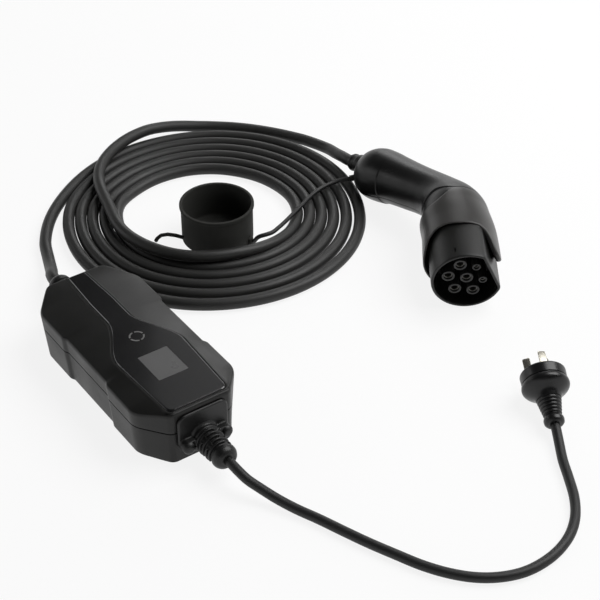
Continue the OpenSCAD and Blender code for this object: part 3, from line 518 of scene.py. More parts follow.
cable = {
    "diameter": 11.2, "sides": 16, "spacing": 4.0,
    "coilMiddle": (-175.0, 178.0),
    "coilStep": 5.0,                              # degrees between the points of the coil
    "easing": (0.1, 0.25, 0.3, 0.25, 0.1),        # weights that even out the turns between the radii
    "boxRun": [
        (-138.6, 0, 18.5), (-143.6, 0, 18.5), (-153, 2.2, 16.8), (-162, 6.5, 13), (-176, 12, 8.6),
        (-192, 18, 6.2),
    ],
    "coilHeight": 5.7,
    # the coil runs clockwise from its outside: for each turn, pairs of an angle in degrees and a radius
    "turns": [
        [(257, 157.2), (248, 151.4), (238, 146), (229, 141), (220, 138), (210, 136.2), (200, 135),
         (180, 133.4), (165, 132.6), (150, 133.4), (135, 134.8), (120, 136.2), (105, 138), (90, 139.4),
         (75, 141.2), (60, 143.4), (45, 146.6), (30, 148.6), (15, 149.4), (0, 149.4), (-15, 148.7),
         (-30, 147.4), (-45, 146.2), (-60, 142.7), (-75, 138.4), (-90, 134.6), (-105, 131.8),
         (-120, 130.4), (-131, 129.6)],
        [(220, 126.8), (210, 124.8), (180, 121.2), (150, 120.4), (120, 122.6), (90, 126), (70, 129),
         (60, 130.8), (45, 133.6), (30, 135.4), (0, 136), (-30, 133.5), (-60, 129.4), (-90, 122.4),
         (-105, 120), (-120, 119.2), (-131, 118.4)],
        [(220, 115.6), (210, 112.8), (180, 109.2), (150, 108.2), (120, 110.1), (90, 113.6), (70, 117),
         (60, 118.8), (45, 121.5), (30, 122.4), (0, 122.1), (-30, 119.5), (-60, 116.4), (-90, 110.6),
         (-105, 108.6), (-120, 108), (-131, 107.2)],
        [(220, 104.4), (210, 101), (180, 97.2), (150, 96.2), (120, 97.9), (90, 102), (70, 105.8),
         (60, 107.6), (45, 110), (30, 110.2), (0, 108.6), (-30, 106.2), (-60, 103.4), (-90, 98.6),
         (-105, 96.8), (-120, 96.6), (-131, 96)],
        [(220, 93.2), (210, 89.4), (180, 85.2), (150, 84.2), (120, 85.5), (90, 90), (70, 94.6),
         (60, 96.4), (45, 98.6), (30, 98.4), (15, 97.4), (0, 95.9), (-14, 94.2), (-30, 93.4), (-45, 92.4),
         (-60, 91.2), (-90, 87), (-105, 85.2), (-120, 85), (-131, 84.8)],
        [(220, 82), (210, 78), (180, 73.4), (150, 71.9), (120, 72.6), (90, 77.6), (70, 83), (60, 85),
         (45, 86.8), (30, 87), (15, 86.6), (0, 87), (-14, 88.6), (-30, 90.2), (-45, 91.4), (-60, 90.4),
         (-75, 90), (-90, 90.2), (-100, 89.6), (-110, 89.2), (-120, 91.4), (-130, 97.6), (-140, 107.6),
         (-150, 118), (-160, 126.2), (-170, 133.6), (-180, 140), (-190, 145.4), (-198, 148.8),
         (-207, 151), (-216, 151.6), (-226, 151.4), (-236, 151.6), (-245, 153.6), (-254, 157.4)],
    ],
    # how far the last turn stands above the others at these angles, where it passes over them
    "rise": [
        (30, 0), (15, 2.6), (0, 6.2), (-14, 9.6), (-30, 10.8), (-45, 11.2), (-60, 11.3), (-180, 11.3),
        (-189, 10.2), (-198, 6.4), (-207, 2.2), (-215, 0.3), (-224, 0),
    ],
    "connectorRun": [
        (-197, 334, 7.6), (-178, 331.5, 12.2), (-163, 328.6, 17), (-151, 326.9, 20), (-145.9, 327.1, 21),
        (-131.1, 328.9, 23.8), (-119.4, 330.3, 26), (-97.9, 333, 30.1), (-86.2, 334.4, 32.3),
        (-62.1, 335.8, 36.1), (-43.5, 336.4, 38.9), (-30.7, 336, 40.4),
    ],
}
lead = {
    "diameter": 8.0, "sides": 14, "spacing": 3.5,
    "route": [
        (138.6, 0, 18.5), (142.6, 0, 18.5), (151, 0.8, 17), (160, 3, 14), (171, 8, 10.4), (184, 14, 6.8),
        (199, 21, 4.5), (217, 29, 4.1), (238, 37, 4.1), (258, 45, 4.1), (278, 54, 4.1), (297, 63, 4.1),
        (314, 74, 4.1), (328, 87, 4.1), (338, 102, 4.1), (344, 119, 4.1), (345, 137, 4.1),
        (342, 155, 4.1), (335, 172, 4.1), (324, 187, 4.1), (309, 200, 4.1), (291, 211, 4.1),
        (274, 220.5, 4.5), (260, 229.5, 6.1), (249, 236.3, 8.5), (244.5, 238.7, 9.8),
    ],
}
tether = {
    "diameter": 4.0, "sides": 12, "spacing": 2.0,
    "route": [
        (-127.2, 311, 17), (-132.6, 303, 15), (-134.6, 293, 13.8), (-133.4, 282, 13.7),
        (-130.2, 271, 13.7), (-125.5, 260, 13.7), (-119.2, 247.5, 13.7), (-113, 234.5, 13.7),
        (-107, 222, 13.7), (-102, 210, 13.7), (-99.2, 202, 13.8), (-99.4, 195, 13.8), (-101.4, 190, 12.9),
        (-103.6, 187.6, 10.5), (-105.1, 186.6, 7.7), (-106.7, 185.6, 5.4),
    ],
}


def sweptTree(name):
    # Geometry Nodes: a round sheath along a path, with its length and girth kept as a UV map
    tree, given = newTree(name, {"Radius": "Float", "Sides": "Int", "Sheath": "Material"})
    along = addNode(tree, "GeometryNodeSplineParameter")
    path = addNode(tree, "GeometryNodeCaptureAttribute", {"Geometry": given.outputs["Geometry"]})
    path.capture_items.new("FLOAT", "run")
    tree.links.new(along.outputs["Length"], path.inputs[1])
    ring = addNode(tree, "GeometryNodeCurvePrimitiveCircle", {"Resolution": given.outputs["Sides"],
                   "Radius": given.outputs["Radius"]})
    around = addNode(tree, "GeometryNodeSplineParameter")
    girth = addNode(tree, "GeometryNodeCaptureAttribute", {"Geometry": ring.outputs["Curve"]})
    girth.capture_items.new("FLOAT", "turn")
    tree.links.new(around.outputs["Factor"], girth.inputs[1])
    skin = addNode(tree, "GeometryNodeCurveToMesh", {"Curve": path.outputs["Geometry"],
                   "Profile Curve": girth.outputs["Geometry"], "Fill Caps": True})
    pair = addNode(tree, "ShaderNodeCombineXYZ", {"X": path.outputs["run"], "Y": girth.outputs["turn"]})
    store = addNode(tree, "GeometryNodeStoreNamedAttribute", {"Geometry": skin.outputs["Mesh"],
                    "Name": "UVMap", "Value": pair.outputs[0]}, data_type="FLOAT2", domain="CORNER")
    smooth = addNode(tree, "GeometryNodeSetShadeSmooth", {"Geometry": store.outputs["Geometry"]})
    closeTree(tree, smooth.outputs["Geometry"], given.outputs["Sheath"])
    return tree


sheathTree = sweptTree("sheathAlongPath")


def makeCord(name, path, values, slot, *replaced):
    # path in millimetres; a poly curve goes through the tree and comes back as a mesh tube
    curve = bpy.data.curves.new(name + "Path", "CURVE")
    curve.dimensions = "3D"
    spline = curve.splines.new("POLY")
    spline.points.add(len(path) - 1)
    for point, place in zip(spline.points, path):
        point.co = (place[0] / 1000, place[1] / 1000, place[2] / 1000, 1)
    obj = addObject(name + "Path", curve)
    made = runTree(obj, sheathTree, name, Radius=values["diameter"] / 2000, Sides=values["sides"],
                   Sheath=slotMaterial(slot))
    return finish(made, slot, *replaced)


def coilPoints():
    cx, cy = cable["coilMiddle"]
    knots = []
    for turn, row in enumerate(cable["turns"]):
        knots += [(360 * turn - angle, radius) for angle, radius in row]
    last = 360 * (len(cable["turns"]) - 1)
    turned = np.arange(knots[0][0], knots[-1][0] + 0.01, cable["coilStep"])
    radius = np.interp(turned, *zip(*knots))
    radius = np.pad(radius, 2, mode="reflect", reflect_type="odd")
    radius = np.convolve(radius, cable["easing"], mode="valid")
    rise = [(last - angle, up) for angle, up in cable["rise"]]
    height = cable["coilHeight"] + np.interp(turned, *zip(*rise))
    a = np.radians(-turned)
    return list(zip(cx + radius * np.cos(a), cy + radius * np.sin(a), height))


cablePath = smoothLine(cable["boxRun"] + coilPoints() + cable["connectorRun"], cable["spacing"])
leadPath = smoothLine(lead["route"], lead["spacing"])
tetherPath = smoothLine(tether["route"], tether["spacing"])
for label, path in (("cable", cablePath), ("lead", leadPath), ("tether", tetherPath)):
    print(label, round(lineLength(path) / 1000, 3), "m")

chargingCable = makeCord("charging_cable", cablePath, cable, "cable_sheath",
                         "cable_box_run", "cable_coil", "cable_connector_run")
mainsLead = makeCord("mains_lead_sheath", leadPath, lead, "lead_sheath", "mains_lead")
capTether = makeCord("dust_cap_tether", tetherPath, tether, "tether_sheath", "cap_tether")
print("cords made")


# control box

box = {
    "length": 202.0, "width": 95.0, "height": 52.0, "shoulder": 46.0, "endWidth": 54.0, "corner": 25.0,
    "draft": 4.0, "wall": 2.5, "recessDepth": 2.0, "recessHalf": 32.0, "recessRamp": 5.0,
    "seam": 30.0, "seal": 0.8, "endRadius": 3.0, "cornerBlend": 5.0,
    "draftLoss": 0.8, "endDraft": 0.15,           # shares of the draft: lost at the corners, kept at the ends
    "baseRings": (24, 17, 10, 4), "coverRings": (35, 39),
    "footRound": (1.4, 1.2), "shoulderRound": (3.6, 1.7),        # height and depth of the rounded edges
    "crown": 1.2, "endDrop": 0.9,                 # bulge of the sloping roof, and its drop at the ends
    "panelWide": 31.0, "panelNarrow": 11.0, "panelBlend": 28.0, "panelThick": 2.4, "panelProud": 1.1,
    "fieldMargin": 1.8, "fieldTaper": 0.05, "fieldEnd": 5.0,
    # the raised border round the panel's pocket: height against the field, out from it, short of the ends
    "border": ((-0.6, 1.4, 2.1), (-0.15, 1.0, 2.25), (0, 0.6, 2.45), (0, -0.5, 2.8), (-0.25, -0.8, 2.9)),
    "panelOut": -0.95, "panelTrim": 3.05, "bevel": 0.9,
    # across and down in shares of the bevel: a steep flat and a 45 degree flat, which catch the light
    "panelFlats": ((0, 1), (0.03, 0.93), (0.2, 0.62), (0.25, 0.56), (0.67, 0.14), (0.76, 0.07), (0.98, 0)),
    "displayX": 45.0, "displayLength": 34.0, "displayWidth": 27.0,
    "ringX": 4.0, "ringRadius": 6.4, "ringLine": 1.3, "ringStarts": (0, 90, 180, 270), "ringGap": 8,
    "blockWidth": 43.0, "blockLow": 15.0, "blockHeight": 30.0, "blockRadius": 6.0, "blockGap": 0.15,
    "screwHole": 1.65, "screwHead": 2.95, "post": 3.6, "postOver": 0.6, "screwInward": 12.0,
    "spacing": 1.7, "fineSpacing": 0.9,           # between the stations along the box, and at its corners
}
halfLength = box["length"] / 2
cornerX = halfLength - box["corner"]
coverLow = box["seam"] + box["seal"]
plateau = box["height"] - box["panelProud"]
pocket = box["height"] - box["panelThick"]


def smoothStep(t):
    u = np.clip(t, 0, 1)
    return u * u * (3 - 2 * u)


def roundOff(over, r):
    t = np.clip(over / r, 0, 1)
    return r * (1 - np.sqrt(1 - t * t))


def bodyHalf(x):
    # half width at the shoulder: recessed sides, then sloping corner walls down to the end faces
    x = abs(x)
    recess = 1 - smoothStep((x - box["recessHalf"]) / box["recessRamp"])
    side = box["width"] / 2 - box["recessDepth"] * recess
    slope = (box["width"] - box["endWidth"]) / 2 / box["corner"]
    corner = box["endWidth"] / 2 + (halfLength - x) * slope
    near = np.maximum(box["cornerBlend"] - abs(side - corner), 0) / box["cornerBlend"]
    blended = np.minimum(side, corner) - near * near * box["cornerBlend"] / 4
    return blended - roundOff(x - halfLength + box["endRadius"], box["endRadius"])


def pastCorner(x):
    return smoothStep((abs(x) - cornerX) / box["corner"])


def draftAt(x, z):
    return box["draft"] * (1 - z / box["shoulder"]) * (1 - box["draftLoss"] * pastCorner(x))


def plateauHalf(x):
    # half width of the raised field under the glossy panel, with its curved waist
    blend, wide, narrow = box["panelBlend"], box["panelWide"], box["panelNarrow"]
    waisted = narrow + (wide - narrow) * smoothStep((x + blend) / (2 * blend))
    taper, end = box["fieldTaper"], box["fieldEnd"]
    taper = taper * np.maximum(0, x - blend) + taper * np.maximum(0, -x - 2 * blend)
    field = waisted - taper - roundOff(x - halfLength + end, end)
    return np.minimum(bodyHalf(x) - box["fieldMargin"], field)


def boxStations():
    straight = np.arange(0, cornerX - 6, box["spacing"])
    bend = np.arange(cornerX - 6, cornerX + 7, box["fineSpacing"])
    slope = np.linspace(cornerX + 8, halfLength - box["endRadius"] - 0.8, 8)
    rounding = halfLength - box["endRadius"] * (1 - np.sin(np.radians(np.linspace(0, 90, 10))))
    half = np.concatenate([straight, bend, slope, rounding])
    return np.concatenate([-half[:0:-1], half])


stations = boxStations()


def boxRing(halfWidth, height, trim):
    x = stations * (halfLength - trim) / halfLength
    z = np.broadcast_to(height, x.shape)
    return np.vstack([np.stack([x, -halfWidth, z], 1), np.stack([x, halfWidth, z], 1)[::-1]])


def wallRing(z, inset):
    return boxRing(bodyHalf(stations) - draftAt(stations, z) - inset, z,
                   inset + box["endDraft"] * box["draft"] * (1 - z / box["shoulder"]))


def shoulderRing(down, inset):
    high = box["shoulder"] + (plateau - box["endDrop"] - box["shoulder"]) * pastCorner(stations)
    z = np.minimum(high - down, plateau - down)
    return boxRing(bodyHalf(stations) - inset - draftAt(stations, high - down), z, inset)


def plateauRing(z, out, trim):
    return boxRing(plateauHalf(stations) + out, z, trim)


def quarterArc(steps):
    # pairs that run from (0, 1) to (1, 0) along a rounding
    return [(1 - math.cos(a), 1 - math.sin(a)) for a in np.linspace(0, math.pi / 2, steps)]


def screwPlaces():
    y = box["width"] / 2 - box["draft"] - box["wall"] - box["post"] + box["postOver"]
    corners = [(sx * (cornerX - box["screwInward"]), sy * y) for sx in (-1, 1) for sy in (-1, 1)]
    return corners + [(0, y - box["recessDepth"]), (0, box["recessDepth"] - y)]


def blockOutline(grow):
    # the strain relief's block, which stands in each end face
    wide, high = box["blockWidth"], box["blockHeight"]
    middle = (0, box["blockLow"] + high / 2)
    return roundedRect(wide + 2 * grow, high + 2 * grow, box["blockRadius"] + grow, middle)


def blockOpening(side):
    low, high = sorted((side * (halfLength - 12), side * (halfLength + 12)))
    return prism("opening", blockOutline(box["blockGap"]), low, high, "X")


def diskOutline(radius, middle):
    steps = 32
    turn = [2 * math.pi * i / steps for i in range(steps)]
    return [(middle[0] + radius * math.cos(a), middle[1] + radius * math.sin(a)) for a in turn]


def makeBase():
    wall, seam = box["wall"], box["seam"]
    rings = [wallRing(wall, wall), wallRing(seam, wall), wallRing(seam, 0.35), wallRing(seam - 0.1, 0.1),
             wallRing(seam - 0.4, 0)]
    rings += [wallRing(z, 0) for z in box["baseRings"]]
    high, deep = box["footRound"]
    rings += [wallRing(high * down, deep * inset) for inset, down in quarterArc(6)]
    shell = loft("baseSkin", rings, ends="strips")
    cutters = [blockOpening(side) for side in (-1, 1)]
    cutters += [prism("hole", diskOutline(box["screwHead"], p), -1, 3.2) for p in screwPlaces()]
    shell = carve(shell, "baseCarved", cutters)
    head, hole, post = box["screwHead"], box["screwHole"], box["post"]
    profile = [(head, 0.4), (head, 4), (hole, 4), (hole, seam - 0.4), (post, seam - 0.4), (post, 0.4)]
    posts = [revolve("post", profile, placer(at=(x, y, 0)), 32) for x, y in screwPlaces()]
    return evenShading(joined("baseParts", [shell] + posts), "box_base_shell")


def makeCover():
    wall, shoulder = box["wall"], box["shoulder"]
    rings = [plateauRing(pocket - 2, 0.4, wall + 2.5), wallRing(shoulder - wall, wall + 1.5),
             wallRing(shoulder - wall - 1.5, wall), wallRing(coverLow, wall), wallRing(coverLow, 0.35),
             wallRing(coverLow + 0.1, 0.1), wallRing(coverLow + 0.4, 0)]
    rings += [wallRing(z, 0) for z in box["coverRings"]]
    high, deep = box["shoulderRound"]
    rings += [shoulderRing(high * down, deep * inset) for inset, down in quarterArc(9)]
    border = [plateauRing(plateau + up, out, trim) for up, out, trim in box["border"]]
    edge, foot = rings[-1], border[0]
    for t in np.linspace(0, 1, 9)[1:-1]:
        crown = np.array([0, 0, box["crown"] * t * (1 - t)]) * (1 - pastCorner(edge[:, :1]))
        rings.append(edge + (foot - edge) * t + crown)
    rings += border + [plateauRing(pocket, *box["border"][-1][1:])]
    shell = loft("coverSkin", rings, ends="strips")
    window = roundedRect(box["displayLength"] + 1, box["displayWidth"] + 1, 1, (box["displayX"], 0))
    cutters = [blockOpening(-1), blockOpening(1), prism("window", window, pocket - 3, pocket + 3)]
    return evenShading(carve(shell, "coverCarved", cutters), "box_top_cover", 40)


def ringArc(start, grow):
    inner, outer = box["ringRadius"] - box["ringLine"] - grow, box["ringRadius"] + grow
    turn = np.radians(np.linspace(start + box["ringGap"], start + 90 - box["ringGap"], 19))
    outline = [(box["ringX"] + outer * math.cos(a), outer * math.sin(a)) for a in turn]
    return outline + [(box["ringX"] + inner * math.cos(a), inner * math.sin(a)) for a in turn[::-1]]


def makePanel():
    top, bevel = box["height"], box["bevel"]
    out, trim = box["panelOut"], box["panelTrim"]
    rings = [plateauRing(pocket, out, trim)]
    rings += [plateauRing(top - bevel * down, out - bevel * inset, trim + bevel * inset)
              for inset, down in box["panelFlats"]]
    rings.append(plateauRing(top, out - bevel - 0.4, trim + bevel + 0.4))
    sheet = loft("panelSheet", rings, ends="strips", sharp=50)
    window = roundedRect(box["displayLength"], box["displayWidth"], 0.6, (box["displayX"], 0))
    cutters = [prism("window", window, pocket - 1, top + 1)]
    cutters += [prism("ringSlot", ringArc(a, 0.12), top - 0.8, top + 1) for a in box["ringStarts"]]
    return evenShading(carve(sheet, "panelCarved", cutters), "box_front_panel", 50)


finish(makeBase(), "box_plastic", "base_shell")
finish(makeCover(), "box_plastic", "top_cover")
finish(makePanel(), "panel_gloss", "front_panel")
arcs = [prism("arc", ringArc(a, 0), box["height"] - 0.7, box["height"] - 0.02) for a in box["ringStarts"]]
statusRing = joined("statusArcs", arcs)
finish(evenShading(statusRing, "status_ring_guide"), "light_guide", "status_ring")
print("control box made")


# vehicle connector: shaped with its nose along +Z and its flat side towards +Y, then laid on its side

connector = {
    "noseAt": (80.0, 283.8, 31.5), "turns": (("Z", 73.6), ("Y", 64.8), ("X", 109.4)),
    "noseRadius": 31.4, "noseFlat": 24.2, "noseCorner": 7.0, "noseWall": 2.6,
    "neckAt": -45.0, "neckEnd": -54.0, "neckIn": 1.6,
    "noseSlot": (-31.4, 1.1, -9.5), "noseSlotSize": (4.2, 1.4, 5.2),
    # the nose from its neck to the rounded lip and back inside: depth, and how far in from the D
    "noseOutside": [(-38, 0), (-30, 0), (-22, 0), (-14, 0), (-7, 0), (-2.4, 0), (-1.5, 0.03), (-0.9, 0.16),
                    (-0.35, 0.5), (-0.06, 0.95), (0, 1.35), (-0.05, 1.75), (-0.25, 2.15), (-0.6, 2.42)],
    "noseInside": (-1.1, -8, -18, -30),
    # sections from the hood to the rear of the grip: middle y and z, lean, half width and half depth
    "sections": [
        (-2.4, -13, 0, 35, 34.2), (-2.2, -36, 0, 34.8, 34), (-2.2, -58, 0, 33.6, 33.1),
        (-4, -76, 2, 32.8, 32.1), (-4.8, -90, 6, 30.9, 30), (-7.5, -99.6, 16, 28, 26.8),
        (-12.3, -109, 27, 25, 23.6), (-19.6, -119.7, 37, 23, 21.8), (-28.5, -130.2, 43, 22.3, 21.6),
        (-39, -141.5, 45, 22.4, 22.4), (-52.6, -156, 45, 23, 24), (-65, -168.8, 45, 24.4, 25.8),
        (-72, -176, 45, 24.2, 25.8), (-78, -181.8, 45, 22.2, 23.8), (-82.4, -186, 45, 18.8, 20.4),
        (-85.2, -188.8, 45, 15, 16),
    ],
    "seamSection": 4, "columns": 176,
    # the hood's front edge: heights across the nose, and how far back the edge lies there
    "hoodEdge": [
        (-60, -26), (-33, -26), (-29, -30), (-23, -37), (-14, -41), (-4, -41.5), (3, -40.5), (8, -39.5),
        (20, -39.8), (24, -39), (27, -36), (28.8, -31.5), (30, -27), (30.8, -21), (31.3, -15),
        (31.8, -12), (60, -12),
    ],
    "hoodEasing": 0.9,                            # over how much that edge is evened out
    "rimExtra": 2.8,                              # added to the hood's wall over the nose's flat side
    "headWall": 1.8, "gripWall": 2.4, "spigot": 2.55, "spigotLength": 7.0,
    # rounded edges, as pairs of how far from the edge and from the surface: the hood's rim inside and
    # outside, the head's rear edge and the grip's front edge
    "rimInside": [(0.5, 0.05), (0.18, 0.3), (0.02, 0.7)],
    "rimOutside": [(0, 0.75), (0.12, 0.42), (0.35, 0.18), (0.6, 0.05)],
    "headEdge": [(2.6, 0.03), (1.8, 0.15), (1.1, 0.38), (0.5, 0.75), (0.05, 1.25)],
    "gripEdge": [(0.15, 1.3), (0.25, 0.9), (0.55, 0.45), (0.95, 0.15), (1.5, 0.0)],
    "collarHead": 11.5, "collarGrip": 9.0, "collarIn": 1.5,      # the sunken band inside the elbow, which a thin dark sheet covers
    "collarSpan": 118.0, "collarFade": 45.0,      # degrees from the underside to its end, and of its taper
    "leastEase": 0.3,                             # share of that rounding where the dark sheet doesn't show
    "heelAt": 168.0, "heelStep": 0.9, "heelLength": 34.0, "heelFade": 30.0,        # the step under the grip
    "bootAt": (0.0, -88.5, -197.0), "bootLean": 45.0, "bootRadius": 9.6, "bootLength": 15.0, "bootOff": 3.46,
    # the grip's rear wall, outside and inside: how far back, shift, half width and half depth
    "rearWall": [
        ((-1.8, 0, 17.0, 18.3), (-4.0, 0, 14.6, 15.8)),
        ((-0.8, 0, 16.0, 17.2), (-3.2, 0, 14.0, 15.0)),
        ((0.1, 0.1, 14.9, 15.9), (-2.7, 0.3, 13.2, 14.0)),
        ((0.7, 0.6, 13.6, 14.4), (-2.2, 1.0, 12.2, 12.8)),
        ((1.1, 1.6, 12.2, 12.6), (-1.8, 1.8, 11.4, 11.7)),
        ((1.3, 2.8, 10.9, 11.0), (-1.5, 2.8, 10.5, 10.6)),
    ],
    "screws": [(-35, -154), (-52.5, -138), (-53, -172.5), (-79, -164.5)],
    "screwHole": 1.65, "screwHead": 2.95, "post": 4.5,
    "marks": [(151.0, 196), (154.5, 195), (158.0, 194)],         # run along the grip and angle round it
    "markHalf": 2.7, "markRadius": 0.32, "markSunk": 0.04,
}
layConnector = placer(*connector["turns"], at=connector["noseAt"])


def dOutline(inset):
    # the nose's D: a circle with one flat and rounded corners
    arcSteps, cornerSteps, flatSteps = 96, 14, 10
    r, h = connector["noseRadius"] - inset, connector["noseFlat"] - inset
    c = max(1, connector["noseCorner"] - inset)
    across = math.sqrt((r - c) ** 2 - (h - c) ** 2)
    turn = math.atan2(h - c, across)
    out = [(r * math.cos(a), r * math.sin(a))
           for a in np.linspace(turn, -math.pi - turn, arcSteps, endpoint=False)]
    out += [(-across + c * math.cos(a), h - c + c * math.sin(a))
            for a in np.linspace(math.pi - turn, math.pi / 2, cornerSteps, endpoint=False)]
    out += [(x, h) for x in np.linspace(-across, across, flatSteps, endpoint=False)]
    out += [(across + c * math.cos(a), h - c + c * math.sin(a))
            for a in np.linspace(math.pi / 2, turn, cornerSteps, endpoint=False)]
    return out


def dRing(z, inset):
    return [(x, y, z) for x, y in dOutline(inset)]


def makeNose():
    wall, neck, end = connector["noseWall"], connector["neckAt"], connector["neckEnd"]
    profile = [(end, connector["neckIn"]), (neck - 0.2, connector["neckIn"]), (neck, 0.3), (neck + 0.5, 0)]
    profile += connector["noseOutside"] + [(z, wall) for z in connector["noseInside"] + (end,)]
    rings = [dRing(z, inset) for z, inset in profile]
    shell = loft("noseShell", rings, ends="joined", place=layConnector, sharp=50)
    x, y, z = connector["noseSlot"]
    deep, high, wide = connector["noseSlotSize"]
    square = ((0, 0), (1, 0), (1, 1), (0, 1))
    corners = [(y - high / 2 + high * a, z - wide / 2 + wide * b) for a, b in square]
    slot = prism("noseSlot", corners, x - 3, x - 3 + deep, "X", layConnector)
    return evenShading(carve(shell, "noseCarved", [slot]), "connector_nose", 50)


contacts = {
    # places across the face, and the radii of the tube, of its bore and of the sleeve's bore
    "power": {"places": [(0, 0), (-16.5, 0), (16.5, 0), (-8.3, -14), (8.3, -14)],
              "tube": 5.8, "bore": 3.8, "pin": 3.05},
    "pilot": {"places": [(-8.3, 12), (8.3, 12)], "tube": 3.8, "bore": 2.3, "pin": 1.55},
    "setBack": 4.8, "floorDepth": 30.5, "floorThick": 7.5, "floorInset": 2.75,
    "sleeveBack": 2.0, "sleeveWall": 0.7,
    "sleeveLength": 47.2, "sleeveDepth": 24.0,
}


def copiesTree(name):
    # Geometry Nodes: one copy of a piece at every point
    tree, given = newTree(name, {"Piece": "Object", "Finish": "Material"})
    info = addNode(tree, "GeometryNodeObjectInfo", {"Object": given.outputs["Piece"], "As Instance": True})
    copies = addNode(tree, "GeometryNodeInstanceOnPoints", {"Points": given.outputs["Geometry"],
                     "Instance": info.outputs["Geometry"]})
    closeTree(tree, copies.outputs["Instances"], given.outputs["Finish"])
    return tree


copyTree = copiesTree("copiesOnPoints")


def copiesAt(name, piece, places, slot):
    # places across the connector's face, in millimetres; the copies are laid with the connector afterwards
    mesh = bpy.data.meshes.new(name + "Points")
    mesh.from_pydata([(x / 1000, y / 1000, 0) for x, y in places], [], [])
    base = addObject(name + "Points", mesh)
    made = runTree(base, copyTree, name, Piece=piece, Finish=slotMaterial(slot))
    remove(piece)
    placePoints(made, layConnector)
    return made


def tubeProfile(outer, bore):
    front, back = -contacts["setBack"], -contacts["floorDepth"] - 1
    corners = [(bore, back), (bore, front), (outer, front), (outer, back)]
    return rounded(corners, {1: 0.45, 2: 0.55}, 5, closed=True)


def sleeveProfile(pin):
    front, outer = -contacts["setBack"] - contacts["sleeveBack"], pin + contacts["sleeveWall"]
    back, deep = front - contacts["sleeveLength"], front - contacts["sleeveDepth"]
    corners = [(pin, deep), (pin, front), (outer, front), (outer, back), (0, back), (0, deep)]
    return rounded(corners, {1: 0.25, 2: 0.2}, 4, closed=True)


def makeContactFloor():
    # the plate that holds the tubes, with a hole behind each of them
    depth, thick, inset = contacts["floorDepth"], contacts["floorThick"], contacts["floorInset"]
    rings = [dRing(-depth - thick, inset), dRing(-depth - 0.4, inset), dRing(-depth, inset + 0.35)]
    floor = loft("carrierFloor", rings, place=layConnector)
    holes = []
    for kind in ("power", "pilot"):
        for middle in contacts[kind]["places"]:
            outline = diskOutline(contacts[kind]["bore"], middle)
            holes.append(prism("hole", outline, -depth - thick - 1, -depth + 1, place=layConnector))
    return evenShading(carve(floor, "floorCarved", holes), "carrierPlate")


def makeContacts():
    parts = [makeContactFloor()]
    for kind in ("power", "pilot"):
        profile = tubeProfile(contacts[kind]["tube"], contacts[kind]["bore"])
        tube = revolve(kind + "Tube", profile, steps=64)
        parts.append(copiesAt(kind + "Tubes", tube, contacts[kind]["places"], "carrier_plastic"))
    carrier = joined("contact_carrier_tubes", parts)
    smoothShade(carrier.data, 40)
    finish(carrier, "carrier_plastic", "contact_carrier", "contact_tubes")
    made = [carrier]
    for kind in ("power", "pilot"):
        sleeve = revolve(kind + "Sleeve", sleeveProfile(contacts[kind]["pin"]), steps=48)
        places = contacts[kind]["places"]
        sleeves = copiesAt(kind + "_contact_sleeves", sleeve, places, "contact_silver")
        smoothShade(sleeves.data, 40)
        made.append(finish(sleeves, "contact_silver", kind + "_contacts"))
    return made


# runs along the connector's axis, in millimetres from the first section
sections = np.array(connector["sections"], float)
runs = np.concatenate([[0], np.cumsum(np.hypot(*np.diff(sections[:, :2], axis=0).T))])
slopes = np.gradient(sections, runs, axis=0)
seamRun = runs[connector["seamSection"]]


def sectionAt(run):
    # a smooth curve through the sections
    run = np.atleast_1d(np.asarray(run, float))
    k = np.clip(np.searchsorted(runs, run, side="right") - 1, 0, len(runs) - 2)
    h = runs[k + 1] - runs[k]
    t = np.clip((run - runs[k]) / h, 0, 1)[:, None]
    a, b, h = sections[k], sections[k + 1], h[:, None]
    return ((1 + 2 * t) * (1 - t) ** 2 * a + t * (1 - t) ** 2 * h * slopes[k]
            + t * t * (3 - 2 * t) * b + t * t * (t - 1) * h * slopes[k + 1])


def heel(run, q):
    # the underside steps in where the rounded end of the grip begins
    under = np.clip(-np.sin(q), 0, 1) ** 2
    before = connector["heelAt"] - run
    fade = smoothStep((connector["heelLength"] - before) / connector["heelFade"])
    return connector["heelStep"] * under * smoothStep(before) * fade


def sectionPoints(run, q, inset):
    # run, angle and inset of the same length, or single values
    run, q, inset = np.broadcast_arrays(np.asarray(run, float), q, inset)
    y, z, lean, a, b = sectionAt(run).T
    lean = np.radians(lean)
    inset = inset + heel(run, q)
    side, deep = (a - inset) * np.cos(q), (b - inset) * np.sin(q)
    return np.stack([side, y + deep * np.cos(lean), z - deep * np.sin(lean)], 1)


def collar(q):
    # grows from nothing on the outer side of the elbow to one on its inner side
    fromUnder = np.degrees(np.arccos(np.clip(-np.sin(q), -1, 1)))
    return smoothStep((connector["collarSpan"] - fromUnder) / connector["collarFade"])


def seamEase(q):
    # how far the edges at the seam are rounded, most where the dark sheet shows
    return connector["leastEase"] + (1 - connector["leastEase"]) * collar(q)


def hoodRuns(q):
    # where each column of the head meets the hood's front edge
    step, reach = 0.5, 8
    heights = np.arange(-60, 60.1, step)
    edge = np.interp(heights, *zip(*connector["hoodEdge"]))
    weights = np.exp(-0.5 * (np.arange(-reach, reach + 1) * step / connector["hoodEasing"]) ** 2)
    edge = np.convolve(np.pad(edge, reach, mode="edge"), weights / weights.sum(), mode="valid")
    grid = np.linspace(0, seamRun, 500)
    out = []
    for angle in q:
        p = sectionPoints(grid, angle, 0.0)
        behind = p[:, 2] <= np.interp(p[:, 1], heights, edge)
        out.append(grid[int(np.argmax(behind))])
    return np.array(out)


